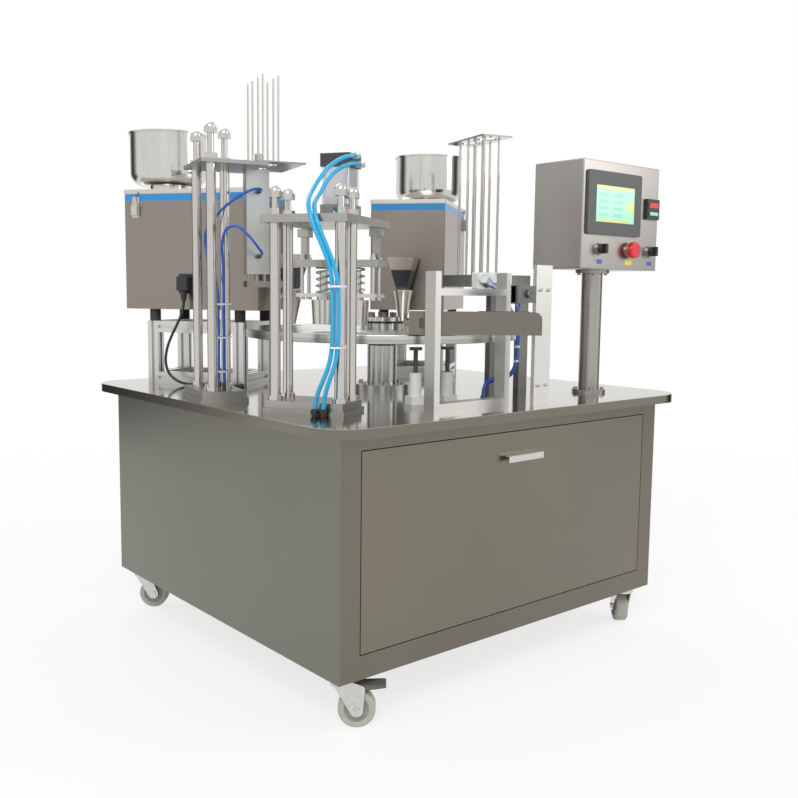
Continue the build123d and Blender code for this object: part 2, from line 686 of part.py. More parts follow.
# Drive motor with its flange, cooling fins and terminal box
MOTOR_AT = (WHEEL_Y, GEARBOX_TOP - GEARBOX_HEIGHT + MOTOR_LIFT)
MOTOR_FACE = WHEEL_X + GEARBOX_WIDTH / 2
with BuildPart() as drive_motor:
    rod(Plane.YZ.offset(MOTOR_FACE), MOTOR_FLANGE_RADIUS, MOTOR_FLANGE, MOTOR_AT)
    rod(Plane.YZ.offset(MOTOR_FACE), MOTOR_RADIUS - MOTOR_FIN_DEPTH, MOTOR_LENGTH, MOTOR_AT)
    fin_pitch = (MOTOR_LENGTH - MOTOR_FLANGE) / MOTOR_FIN_COUNT
    for fin in range(MOTOR_FIN_COUNT):
        fin_face = MOTOR_FACE + MOTOR_FLANGE + (fin + 1) * fin_pitch - MOTOR_FIN_THICK
        rod(Plane.YZ.offset(fin_face), MOTOR_RADIUS, MOTOR_FIN_THICK, MOTOR_AT)
    bar(
        level(MOTOR_AT[1]),
        TERMINAL_BOX,
        TERMINAL_BOX,
        MOTOR_RADIUS + TERMINAL_HEIGHT,
        (MOTOR_FACE + MOTOR_LENGTH / 2, WHEEL_Y),
    )
save("drive_motor", drive_motor)

# Turntable: a disc with two cup pockets at each of its eight stations
POCKET_BEARINGS = []
for index in range(STATION_COUNT):
    for half in (-POCKET_HALF_ANGLE, POCKET_HALF_ANGLE):
        POCKET_BEARINGS.append(SEAL_BEARING + index * STATION_PITCH + half)


def pocket(bearing):
    x = WHEEL_X + POCKET_CIRCLE * cos(radians(bearing))
    y = WHEEL_Y + POCKET_CIRCLE * sin(radians(bearing))
    return (x, y)


with BuildPart() as turntable_disc:
    rod(level(DISC_BOTTOM), DISC_RADIUS, DISC_THICK, WHEEL)
    fillet(turntable_disc.edges().filter_by(GeomType.CIRCLE), DISC_EDGE)
    rod(level(DISC_BOTTOM), SPIGOT_RADIUS + RUNNING_CLEARANCE, DISC_THICK, WHEEL, Mode.SUBTRACT)
    with BuildSketch(level(DISC_BOTTOM)):
        with Locations([pocket(bearing) for bearing in POCKET_BEARINGS]):
            Circle(POCKET_RADIUS)
    extrude(amount=DISC_THICK, mode=Mode.SUBTRACT)
    with BuildSketch(level(DISC_TOP - POCKET_RIM_DEPTH)):
        with Locations([pocket(bearing) for bearing in POCKET_BEARINGS]):
            Circle(POCKET_RIM_RADIUS)
    extrude(amount=POCKET_RIM_DEPTH, mode=Mode.SUBTRACT)
save("turntable_disc", turntable_disc)

# Hub: the shaft, the flange under the disc and the cap above it
with BuildPart() as turntable_hub:
    rod(level(SHAFT_FOOT), SHAFT_RADIUS, DISC_BOTTOM - SHAFT_FOOT, WHEEL)
    rod(level(DISC_BOTTOM - HUB_FLANGE_THICK), HUB_FLANGE_RADIUS, HUB_FLANGE_THICK, WHEEL)
    rod(level(DISC_BOTTOM), SPIGOT_RADIUS, DISC_THICK, WHEEL)
    rod(level(DISC_TOP), HUB_CORE_RADIUS, HUB_CAP_LIFT, WHEEL)
    with BuildSketch(level(DISC_TOP)):
        with Locations(WHEEL):
            with PolarLocations(HUB_STUD_CIRCLE, HUB_STUD_COUNT):
                Circle(HUB_STUD_RADIUS)
    extrude(amount=HUB_STUD_HEIGHT)
    rod(level(DISC_TOP + HUB_STUD_HEIGHT), HUB_RING_RADIUS, HUB_CAP_LIFT - HUB_STUD_HEIGHT, WHEEL)
    rod(level(DISC_TOP + HUB_CAP_LIFT), HUB_CAP_RADIUS, HUB_CAP_THICK, WHEEL)
    with BuildSketch(level(DISC_TOP + HUB_CAP_LIFT + HUB_CAP_THICK)):
        with Locations(WHEEL):
            with PolarLocations(HUB_KNOB_CIRCLE, HUB_KNOB_COUNT):
                Circle(HUB_KNOB_RADIUS)
    extrude(amount=HUB_KNOB_HEIGHT)
save("turntable_hub", turntable_hub)

# Base plates of the sealing and the lid station
SEAL_POSTS = []
for reach in (SEAL_POST_OUTER, SEAL_POST_INNER):
    for half in (-SEAL_POST_HALF, SEAL_POST_HALF):
        SEAL_POSTS.append((reach, SEAL_POST_SHIFT + half))
LID_POSTS = (
    (LID_POST_OUTER, LID_POST_SHIFT - LID_POST_HALF),
    (LID_POST_OUTER, LID_POST_SHIFT + LID_POST_HALF),
    (LID_POST_INNER, LID_POST_SHIFT),
)
STATIONS = (
    (SEAL_BEARING, SEAL_POSTS, SEAL_PLATE_UNDER, SEAL_PLATE_THICK, SEAL_STUD),
    (LID_BEARING, LID_POSTS, LID_PLATE_UNDER, LID_PLATE_THICK, LID_STUD),
)
with BuildPart() as station_base_plates:
    for bearing, outer, inner, half, shift in (
        (SEAL_BEARING, SEAL_BASE_OUTER, SEAL_BASE_INNER, SEAL_BASE_HALF, SEAL_POST_SHIFT),
        (LID_BEARING, LID_BASE_OUTER, LID_BASE_INNER, LID_BASE_HALF, LID_POST_SHIFT),
    ):
        middle = ((outer + inner) / 2, shift)
        bar(station(bearing, TABLE_TOP), outer - inner, 2 * half, BASE_LOWER, middle)
        bar(
            station(bearing, TABLE_TOP + BASE_LOWER),
            outer - inner - 2 * BASE_STEP,
            2 * (half - BASE_STEP),
            BASE_UPPER,
            middle,
        )
save("station_base_plates", station_base_plates)

# Columns with their foot collars and the studs that pass through the top plates
with BuildPart() as station_columns:
    for bearing, posts, under, thick, stud in STATIONS:
        for post in posts:
            rod(station(bearing, BASE_TOP), POST_RADIUS, under - BASE_TOP, post)
            rod(station(bearing, BASE_TOP), POST_COLLAR_RADIUS, POST_COLLAR, post)
            rod(station(bearing, under), STUD_RADIUS, thick + stud, post)
save("station_columns", station_columns)

# A hexagon nut and a domed nut on every stud
with BuildPart() as column_nuts:
    for bearing, posts, under, thick, stud in STATIONS:
        top = under + thick
        for post in posts:
            for foot, height in ((top, NUT_HEIGHT), (top + stud - DOME_DROP, DOME_BODY)):
                with BuildSketch(station(bearing, foot)):
                    with Locations(post):
                        RegularPolygon(NUT_FLATS / 2, 6, major_radius=False)
                extrude(amount=height)
            crown = station(bearing, top + stud - DOME_DROP + DOME_BODY, *post)
            profile = Plane(origin=crown.origin, x_dir=(1, 0, 0), z_dir=(0, -1, 0))
            with BuildSketch(profile):
                Circle(DOME_RADIUS)
                with Locations((DOME_RADIUS / 2, DOME_RADIUS / 2)):
                    Rectangle(DOME_RADIUS, DOME_RADIUS, mode=Mode.INTERSECT)
            revolve(axis=Axis(crown.origin, (0, 0, 1)))
            rod(station(bearing, top), STUD_RADIUS, stud, post, Mode.SUBTRACT)
save("column_nuts", column_nuts)

# Sealing station: top plate, air cylinder, crosshead and spring-loaded sealing heads
CYLINDER_AT = (LANE_REACH, 0)
PLATE_TOP = SEAL_PLATE_UNDER + SEAL_PLATE_THICK
CROSSHEAD_TOP = SEAL_PLATE_UNDER - CROSSHEAD_DROP
CROSSHEAD_UNDER = CROSSHEAD_TOP - CROSSHEAD_THICK
HEAD_PLATE_TOP = CROSSHEAD_UNDER - HEAD_PLATE_DROP
GUIDES = []
for depth in (-GUIDE_DEPTH, GUIDE_DEPTH):
    for spread in (-GUIDE_SPREAD, GUIDE_SPREAD):
        GUIDES.append((LANE_REACH + depth, spread))


def at_seal(height):
    return station(SEAL_BEARING, height)


with BuildPart() as seal_top_plate:
    bar(
        at_seal(SEAL_PLATE_UNDER),
        SEAL_PLATE_OUTER - SEAL_PLATE_INNER,
        2 * SEAL_PLATE_HALF,
        SEAL_PLATE_THICK,
        ((SEAL_PLATE_OUTER + SEAL_PLATE_INNER) / 2, SEAL_POST_SHIFT),
    )
    fillet(seal_top_plate.edges().filter_by(Axis.Z), PLATE_CORNER)
    for post in SEAL_POSTS:
        rod(at_seal(SEAL_PLATE_UNDER), STUD_RADIUS, SEAL_PLATE_THICK, post, Mode.SUBTRACT)
    rod_bore = PISTON_ROD_RADIUS + RUNNING_CLEARANCE
    rod(at_seal(SEAL_PLATE_UNDER), rod_bore, SEAL_PLATE_THICK, CYLINDER_AT, Mode.SUBTRACT)
save("seal_top_plate", seal_top_plate)

BARREL_FOOT = PLATE_TOP + CYLINDER_FOOT
BARREL_HEIGHT = CYLINDER_HEIGHT - CYLINDER_FOOT - CYLINDER_HEAD
with BuildPart() as seal_cylinder:
    for foot, height in ((PLATE_TOP, CYLINDER_FOOT), (BARREL_FOOT + BARREL_HEIGHT, CYLINDER_HEAD)):
        bar(at_seal(foot), CYLINDER_SIDE, CYLINDER_SIDE, height, CYLINDER_AT)
    rod(at_seal(PLATE_TOP), rod_bore, CYLINDER_FOOT, CYLINDER_AT, Mode.SUBTRACT)
    bar(at_seal(BARREL_FOOT), BARREL_SIDE, BARREL_SIDE, BARREL_HEIGHT, CYLINDER_AT)
    for x in (-TIE_ROD_SPREAD / 2, TIE_ROD_SPREAD / 2):
        for y in (-TIE_ROD_SPREAD / 2, TIE_ROD_SPREAD / 2):
            rod(at_seal(BARREL_FOOT), TIE_ROD_RADIUS, BARREL_HEIGHT, (LANE_REACH + x, y))
    rod(at_seal(BARREL_FOOT), BARREL_BORE, BARREL_HEIGHT, CYLINDER_AT, Mode.SUBTRACT)
save("seal_cylinder", seal_cylinder)

PISTON_TOP = PLATE_TOP + CYLINDER_HEIGHT - PISTON_DROP
with BuildPart() as seal_crosshead:
    bar(at_seal(CROSSHEAD_UNDER), CROSSHEAD_DEPTH, 2 * CROSSHEAD_HALF, CROSSHEAD_THICK, CYLINDER_AT)
    fillet(seal_crosshead.edges().filter_by(Axis.Z), CAP_CORNER)
    block_under = SEAL_PLATE_UNDER - SEAT_GAP - STOP_BLOCK_HEIGHT
    for spread in (-STOP_SPREAD, STOP_SPREAD):
        bar(at_seal(CROSSHEAD_TOP), STOP_BAR, STOP_BAR, block_under - CROSSHEAD_TOP, (LANE_REACH, spread))
        bar(at_seal(block_under), STOP_BLOCK, STOP_BLOCK, STOP_BLOCK_HEIGHT, (LANE_REACH, spread))
    rod(at_seal(CROSSHEAD_TOP), PISTON_ROD_RADIUS, PISTON_TOP - CROSSHEAD_TOP, CYLINDER_AT)
    rod(at_seal(PISTON_TOP - PISTON_THICK), BARREL_BORE - RUNNING_CLEARANCE, PISTON_THICK, CYLINDER_AT)
    for guide in GUIDES:
        guide_bore = GUIDE_ROD_RADIUS + RUNNING_CLEARANCE
        rod(at_seal(CROSSHEAD_UNDER), guide_bore, CROSSHEAD_THICK, guide, Mode.SUBTRACT)
save("seal_crosshead", seal_crosshead)

with BuildPart() as seal_heads:
    plate_under = HEAD_PLATE_TOP - HEAD_PLATE_THICK
    bar(at_seal(plate_under), HEAD_PLATE_DEPTH, 2 * HEAD_PLATE_HALF, HEAD_PLATE_THICK, CYLINDER_AT)
    for lane in LANES:
        rod(at_seal(plate_under - HEAD_NECK), HEAD_NECK_RADIUS, HEAD_NECK, (LANE_REACH, lane))
        with BuildSketch(at_seal(plate_under - HEAD_NECK - HEAD_HEIGHT)):
            with Locations((LANE_REACH, lane)):
                Circle(HEAD_RADIUS - HEAD_TAPER)
        with BuildSketch(at_seal(plate_under - HEAD_NECK)):
            with Locations((LANE_REACH, lane)):
                Circle(HEAD_RADIUS)
        loft()
        stem = CROSSHEAD_UNDER - STEM_DROP - HEAD_PLATE_TOP
        rod(at_seal(HEAD_PLATE_TOP), STEM_RADIUS, stem, (LANE_REACH, lane))
    for guide in GUIDES:
        nut_under = CROSSHEAD_TOP + SEAT_GAP
        guide_top = nut_under + GUIDE_NUT + GUIDE_END
        rod(at_seal(HEAD_PLATE_TOP), GUIDE_ROD_RADIUS, guide_top - HEAD_PLATE_TOP, guide)
        rod(at_seal(nut_under), GUIDE_NUT_RADIUS, GUIDE_NUT, guide)
        rod(at_seal(plate_under - GUIDE_NUT), GUIDE_NUT_RADIUS, GUIDE_NUT, guide)
save("seal_heads", seal_heads)

with BuildPart() as seal_springs:
    spring_foot = HEAD_PLATE_TOP + SEAT_GAP + SPRING_WIRE
    spring_height = CROSSHEAD_UNDER - SEAT_GAP - SPRING_WIRE - spring_foot
    for lane in LANES:
        with BuildLine(station(SEAL_BEARING, spring_foot, LANE_REACH, lane)) as coil:
            Helix(spring_height / SPRING_TURNS, spring_height, SPRING_RADIUS)
        with BuildSketch(Plane(origin=coil.line @ 0, z_dir=coil.line % 0)):
            RegularPolygon(SPRING_WIRE, 6)
        sweep(path=coil.line, is_frenet=True)
save("seal_springs", seal_springs)

# Lid station: top plate with the lid stacks, a hanging guided cylinder and the suction arm
SHELF_UNDER = LID_PLATE_UNDER + LID_PLATE_THICK
SHELF_TOP = SHELF_UNDER + LID_SHELF_THICK
BODY_UNDER = LID_PLATE_UNDER - LID_BODY_HEIGHT
ARM_TOP = BODY_UNDER - LID_ARM_DROP


def at_lid(height):
    return station(LID_BEARING, height)


with BuildPart() as lid_top_plate:
    bar(
        at_lid(LID_PLATE_UNDER),
        LID_PLATE_OUTER - LID_PLATE_INNER,
        2 * LID_PLATE_HALF,
        LID_PLATE_THICK,
        ((LID_PLATE_OUTER + LID_PLATE_INNER) / 2, LID_PLATE_SHIFT),
    )
    bar(
        at_lid(SHELF_UNDER),
        LID_SHELF_OUTER - LID_SHELF_INNER,
        2 * LID_PLATE_HALF,
        LID_SHELF_THICK,
        ((LID_SHELF_OUTER + LID_SHELF_INNER) / 2, LID_PLATE_SHIFT),
    )
    for post in LID_POSTS:
        rod(at_lid(LID_PLATE_UNDER), STUD_RADIUS, LID_PLATE_THICK, post, Mode.SUBTRACT)
    for lane in LANES:
        window = LID_SHELF_THICK + LID_PLATE_THICK
        rod(at_lid(LID_PLATE_UNDER), LID_WINDOW_RADIUS, window, (LID_STACK_REACH, lane), Mode.SUBTRACT)
    for y in (LID_PLATE_SHIFT - LID_KNOB_SPREAD / 2, LID_PLATE_SHIFT + LID_KNOB_SPREAD / 2):
        rod(at_lid(SHELF_TOP), LID_KNOB_RADIUS, LID_KNOB_HEIGHT, (LID_PLATE_INNER + LID_KNOB_INSET, y))
save("lid_top_plate", lid_top_plate)

with BuildPart() as lid_rods:
    for lane in LANES:
        for x in (-LID_ROD_SPREAD / 2, LID_ROD_SPREAD / 2):
            for y in (-LID_ROD_SPREAD / 2, LID_ROD_SPREAD / 2):
                top = LID_PLATE_UNDER + LID_ROD_HEIGHT
                rod(at_lid(SHELF_TOP), LID_ROD_RADIUS, top - SHELF_TOP, (LID_STACK_REACH + x, lane + y))
save("lid_rods", lid_rods)

LID_SLIDES = (
    (0, LID_PISTON_RADIUS),
    (-LID_GUIDE_SPREAD, LID_GUIDE_RADIUS),
    (LID_GUIDE_SPREAD, LID_GUIDE_RADIUS),
)
with BuildPart() as lid_cylinder:
    bar(at_lid(BODY_UNDER), LID_BODY_THICK, LID_BODY_WIDTH, LID_BODY_HEIGHT, (LID_BODY_REACH, 0))
    for x, radius in LID_SLIDES:
        bore = radius + RUNNING_CLEARANCE
        rod(at_lid(BODY_UNDER), bore, LID_GUIDE_LENGTH + SEAT_GAP, (LID_BODY_REACH + x, 0), Mode.SUBTRACT)
save("lid_cylinder", lid_cylinder)

with BuildPart() as lid_arm:
    arm_outer = LID_BODY_REACH + LID_BODY_THICK / 2
    bar(
        at_lid(ARM_TOP - LID_ARM_THICK),
        arm_outer - LID_ARM_INNER,
        LID_BODY_WIDTH,
        LID_ARM_THICK,
        ((arm_outer + LID_ARM_INNER) / 2, 0),
    )
    bar(
        at_lid(ARM_TOP - LID_ARM_THICK),
        2 * (LANE_REACH - LID_ARM_INNER),
        2 * LID_ARM_HALF,
        LID_ARM_THICK,
        (LANE_REACH, 0),
    )
    for x, radius in LID_SLIDES:
        rod(at_lid(ARM_TOP), radius, LID_ARM_DROP + LID_GUIDE_LENGTH, (LID_BODY_REACH + x, 0))
    for lane in LANES:
        stem_under = ARM_TOP - LID_ARM_THICK - SUCTION_STEM
        rod(at_lid(stem_under), SUCTION_STEM_RADIUS, SUCTION_STEM, (LANE_REACH, lane))
        with BuildSketch(at_lid(stem_under)):
            with Locations((LANE_REACH, lane)):
                Circle(SUCTION_STEM_RADIUS)
        with BuildSketch(at_lid(stem_under - SUCTION_HEIGHT)):
            with Locations((LANE_REACH, lane)):
                Circle(SUCTION_RADIUS)
        loft()
save("lid_arm", lid_arm)

# Cup magazine over its two lanes, on a denester block with two legs
BLOCK_TOP = DENESTER_UNDER + DENESTER_THICK
SLOT_UNDER = DENESTER_UNDER + (DENESTER_THICK - SLIDE_THICK) / 2


def at_cups(height):
    return station(CUP_BEARING, height)


with BuildPart() as denester_block:
    bar(
        at_cups(DENESTER_UNDER),
        DENESTER_OUTER - DENESTER_INNER,
        2 * DENESTER_HALF,
        DENESTER_THICK,
        ((DENESTER_OUTER + DENESTER_INNER) / 2, 0),
    )
    fillet(denester_block.edges().filter_by(Axis.Z), PLATE_CORNER)
    slot_width = SLIDE_WIDTH + 2 * RUNNING_CLEARANCE
    slot_height = SLIDE_THICK + 2 * RUNNING_CLEARANCE
    bar(
        at_cups(SLOT_UNDER - RUNNING_CLEARANCE),
        slot_width,
        2 * DENESTER_HALF,
        slot_height,
        CYLINDER_AT,
        Mode.SUBTRACT,
    )
    for lane in LANES:
        rod(at_cups(DENESTER_UNDER), DENESTER_BORE, DENESTER_THICK, (LANE_REACH, lane), Mode.SUBTRACT)
    for spread in (-DENESTER_LEG_SPREAD, DENESTER_LEG_SPREAD):
        leg = DENESTER_UNDER - TABLE_TOP
        bar(at_cups(TABLE_TOP), DENESTER_LEG, DENESTER_LEG, leg, (DENESTER_LEG_REACH, spread))
save("denester_block", denester_block)

with BuildPart() as denester_slide:
    bar(
        at_cups(SLOT_UNDER),
        SLIDE_WIDTH,
        SLIDE_FRONT + SLIDE_REAR,
        SLIDE_THICK,
        (LANE_REACH, (SLIDE_REAR - SLIDE_FRONT) / 2),
    )
    for lane in LANES:
        rod(at_cups(SLOT_UNDER), DENESTER_BORE, SLIDE_THICK, (LANE_REACH, lane), Mode.SUBTRACT)
    rod_plane = station(CUP_BEARING, 0, TWIN_REACH, -SLIDE_FRONT)
    rod_face = Plane(origin=rod_plane.origin, x_dir=rod_plane.x_dir, z_dir=-rod_plane.y_dir)
    rod(rod_face, SLIDE_ROD_RADIUS, SLIDE_ROD, (0, SLOT_UNDER + SLIDE_THICK / 2))
save("denester_slide", denester_slide)

with BuildPart() as denester_cylinder:
    twin_middle = -DENESTER_HALF - TWIN_LENGTH / 2
    twin_centre = SLOT_UNDER + SLIDE_THICK / 2
    twin_under = twin_centre - TWIN_HEIGHT / 2
    bar(at_cups(twin_under), TWIN_WIDTH, TWIN_LENGTH, TWIN_HEIGHT, (TWIN_REACH, twin_middle))
    twin_edges = denester_cylinder.edges().filter_by(Axis(rod_face.origin, rod_face.z_dir))
    fillet(twin_edges, PLATE_CORNER)
    end_face = rod_face.offset(DENESTER_HALF + TWIN_LENGTH - SLIDE_FRONT - TWIN_RECESS)
    for x in (-TWIN_WIDTH / 4, TWIN_WIDTH / 4):
        rod(end_face, TWIN_BORE, TWIN_RECESS, (x, twin_centre), Mode.SUBTRACT)
    twin_bore = SLIDE_ROD_RADIUS + RUNNING_CLEARANCE
    rod(rod_face, twin_bore, SLIDE_ROD + SEAT_GAP, (0, twin_centre), Mode.SUBTRACT)
save("denester_cylinder", denester_cylinder)

with BuildPart() as magazine_rods:
    for lane in LANES:
        for x in (-MAGAZINE_ROD_SPREAD / 2, MAGAZINE_ROD_SPREAD / 2):
            for y in (-MAGAZINE_ROD_SPREAD / 2, MAGAZINE_ROD_SPREAD / 2):
                height = MAGAZINE_TOP - MAGAZINE_RING_THICK - BLOCK_TOP
                rod(at_cups(BLOCK_TOP), MAGAZINE_ROD_RADIUS, height, (LANE_REACH + x, lane + y))
    with BuildSketch(at_cups(MAGAZINE_TOP - MAGAZINE_RING_THICK)):
        with Locations((LANE_REACH, 0)):
            Rectangle(MAGAZINE_RING_DEPTH, MAGAZINE_RING_WIDTH)
            with Locations((0, LANE_SPREAD), (0, -LANE_SPREAD)):
                Circle(MAGAZINE_RING_BORE, mode=Mode.SUBTRACT)
    extrude(amount=MAGAZINE_RING_THICK)
save("magazine_rods", magazine_rods)

# Fillers: a stand of slotted profile, a case on rubber feet, a round hopper, a spout and a filling cone
STAND_TOP = TABLE_TOP + STAND_HEIGHT
CASE_TOP = CASE_UNDER + CASE_HEIGHT
COVER_UNDER = CASE_TOP - COVER_HEIGHT
SPOUT_UNDER = SPOUT_TOP - SPOUT_HEIGHT


def at_filler(filler, height):
    pocket_bearing, axis_bearing = filler
    return planted(*pocket(pocket_bearing), axis_bearing, height)


def profile_section():
    Rectangle(PROFILE, PROFILE)
    for turn in (0, 90, 180, 270):
        with Locations(Location((0, 0, 0), (0, 0, turn))):
            with Locations((PROFILE / 2 - PROFILE_SLOT_DEPTH / 2, 0)):
                Rectangle(PROFILE_SLOT_DEPTH, PROFILE_SLOT, mode=Mode.SUBTRACT)


STAND_ENDS = (STAND_START + PROFILE / 2, STAND_START + STAND_LENGTH - PROFILE / 2)
STAND_SIDES = (-STAND_WIDTH / 2 + PROFILE / 2, STAND_WIDTH / 2 - PROFILE / 2)
with BuildPart() as filler_stands:
    for filler in FILLERS:
        base = at_filler(filler, TABLE_TOP)
        with BuildSketch(base):
            for x in STAND_ENDS:
                for y in STAND_SIDES:
                    with Locations((x, y)):
                        profile_section()
        extrude(amount=STAND_HEIGHT)
        for x in STAND_ENDS:
            side = Plane(origin=base.origin + base.x_dir * x, x_dir=base.x_dir, z_dir=-base.y_dir)
            with BuildSketch(side.offset(-STAND_SIDES[1] + PROFILE / 2)):
                for y in (PROFILE / 2, STAND_HEIGHT - PROFILE / 2):
                    with Locations((0, y)):
                        profile_section()
            extrude(amount=STAND_WIDTH - 2 * PROFILE)
        for y in STAND_SIDES:
            along = Plane(origin=base.origin + base.y_dir * y, x_dir=base.y_dir, z_dir=base.x_dir)
            with BuildSketch(along.offset(STAND_START + PROFILE)):
                for z in (PROFILE / 2, STAND_HEIGHT - PROFILE / 2):
                    with Locations((0, z)):
                        profile_section()
            extrude(amount=STAND_LENGTH - 2 * PROFILE)
save("filler_stands", filler_stands)

with BuildPart() as filler_feet:
    for filler in FILLERS:
        for x in STAND_ENDS:
            for y in STAND_SIDES:
                rod(at_filler(filler, STAND_TOP), FOOT_RADIUS, CASE_UNDER - STAND_TOP, (x, y))
save("filler_feet", filler_feet)

CASE_MIDDLE = (CASE_FRONT + CASE_DEPTH / 2, 0)
with BuildPart() as filler_cases:
    for filler in FILLERS:
        bar(at_filler(filler, CASE_UNDER), CASE_DEPTH, CASE_WIDTH, CASE_HEIGHT - COVER_HEIGHT, CASE_MIDDLE)
        bar(
            at_filler(filler, COVER_UNDER),
            CASE_DEPTH + 2 * COVER_LIP,
            CASE_WIDTH + 2 * COVER_LIP,
            COVER_HEIGHT,
            CASE_MIDDLE,
        )
    fillet(filler_cases.edges().filter_by(Axis.Z), CASE_EDGE)
    for filler in FILLERS:
        bar(
            at_filler(filler, CASE_UNDER + CASE_WALL),
            CASE_DEPTH - 2 * CASE_WALL,
            CASE_WIDTH - 2 * CASE_WALL,
            CASE_HEIGHT - 2 * CASE_WALL,
            CASE_MIDDLE,
            Mode.SUBTRACT,
        )
        bowl_seat = at_filler(filler, CASE_TOP - CASE_WALL)
        rod(bowl_seat, BOWL_NECK_RADIUS - BOWL_WALL, CASE_WALL, (FILLER_REACH, 0), Mode.SUBTRACT)
save("filler_cases", filler_cases)

with BuildPart() as hopper_bowls:
    for filler in FILLERS:
        seat = at_filler(filler, CASE_TOP)
        axis_point = seat.origin + seat.x_dir * FILLER_REACH
        with BuildSketch(Plane(origin=axis_point, x_dir=seat.x_dir, z_dir=-seat.y_dir)):
            with BuildLine():
                outer = BOWL_RADIUS - BOWL_CORNER
                inner = BOWL_RADIUS - BOWL_WALL
                neck = BOWL_NECK_RADIUS - BOWL_WALL
                shoulder = BOWL_NECK + BOWL_CORNER
                Polyline(
                    (neck, 0),
                    (BOWL_NECK_RADIUS, 0),
                    (BOWL_NECK_RADIUS, BOWL_NECK),
                    (outer, BOWL_NECK),
                )
                JernArc((outer, BOWL_NECK), (1, 0), BOWL_CORNER, 90)
                Polyline(
                    (BOWL_RADIUS, shoulder),
                    (BOWL_RADIUS, BOWL_HEIGHT - BOWL_LIP),
                    (BOWL_RADIUS + BOWL_LIP, BOWL_HEIGHT - BOWL_LIP),
                    (BOWL_RADIUS + BOWL_LIP, BOWL_HEIGHT),
                    (inner, BOWL_HEIGHT),
                    (inner, shoulder),
                )
                JernArc((inner, shoulder), (0, -1), BOWL_CORNER - BOWL_WALL, -90)
                Polyline(
                    (outer, BOWL_NECK + BOWL_WALL),
                    (neck, BOWL_NECK + BOWL_WALL),
                    (neck, 0),
                )
            make_face()
        revolve(axis=Axis(axis_point, (0, 0, 1)))
save("hopper_bowls", hopper_bowls)

with BuildPart() as filler_spouts:
    for filler in FILLERS:
        neck_length = CASE_FRONT - SPOUT_WIDTH / 2 + NECK_HEIGHT / 2
        neck_middle = (CASE_FRONT - neck_length / 2, 0)
        neck_foot = at_filler(filler, SPOUT_TOP - NECK_DROP - NECK_HEIGHT)
        bar(neck_foot, neck_length, NECK_WIDTH, NECK_HEIGHT, neck_middle)
        for shrink, mode in ((0, Mode.ADD), (2 * SPOUT_WALL, Mode.SUBTRACT)):
            with BuildSketch(at_filler(filler, SPOUT_UNDER)):
                Rectangle(SPOUT_OUTLET - shrink, SPOUT_OUTLET - shrink)
            with BuildSketch(at_filler(filler, SPOUT_TOP)):
                Rectangle(SPOUT_WIDTH - shrink, SPOUT_WIDTH - shrink)
            loft(mode=mode)
save("filler_spouts", filler_spouts)

# Filling cones: a flange under the spout, a cone and a short tube that ends above the pocket
CONE_TOP = SPOUT_UNDER
CONE_UNDER = DISC_TOP + CONE_LIFT
with BuildPart() as filling_cones:
    for filler in FILLERS:
        seat = at_filler(filler, 0)
        with BuildSketch(Plane(origin=seat.origin, x_dir=seat.x_dir, z_dir=-seat.y_dir)):
            with BuildLine():
                taper_foot = CONE_TOP - CONE_FLANGE - CONE_TAPER
                Polyline(
                    (CONE_OUTLET_RADIUS, CONE_UNDER),
                    (CONE_OUTLET_RADIUS, taper_foot),
                    (CONE_RADIUS, CONE_TOP - CONE_FLANGE),
                    (CONE_FLANGE_RADIUS, CONE_TOP - CONE_FLANGE),
                    (CONE_FLANGE_RADIUS, CONE_TOP),
                    (SPOUT_OUTLET / 2 - SPOUT_WALL, CONE_TOP),
                    (SPOUT_OUTLET / 2 - SPOUT_WALL, CONE_TOP - CONE_FLANGE),
                    (CONE_RADIUS - CONE_WALL, CONE_TOP - CONE_FLANGE),
                    (CONE_OUTLET_RADIUS - CONE_WALL, taper_foot),
                    (CONE_OUTLET_RADIUS - CONE_WALL, CONE_UNDER),
                    close=True,
                )
            make_face()
        revolve(axis=Axis(seat.origin, (0, 0, 1)))
save("filling_cones", filling_cones)

# Output: a portal of flat bar, the discharge chute and two lifters that push the cups out of their pockets
with BuildPart() as output_frame:
    frame_middle = OUT_FRAME_FRONT + OUT_FRAME_DEPTH / 2
    for x in (OUT_FRAME_LEFT + OUT_POST / 2, OUT_FRAME_LEFT + OUT_FRAME_WIDTH - OUT_POST / 2):
        bar(level(TABLE_TOP), OUT_POST, OUT_FRAME_DEPTH, OUT_POST_HEIGHT, (x, frame_middle))
    for lift in (0, OUT_BAR_LIFT):
        bar(
            level(TABLE_TOP + lift),
            OUT_FRAME_WIDTH - 2 * OUT_POST,
            OUT_FRAME_DEPTH,
            OUT_BAR,
            (OUT_FRAME_LEFT + OUT_FRAME_WIDTH / 2, frame_middle),
        )
save("output_frame", output_frame)

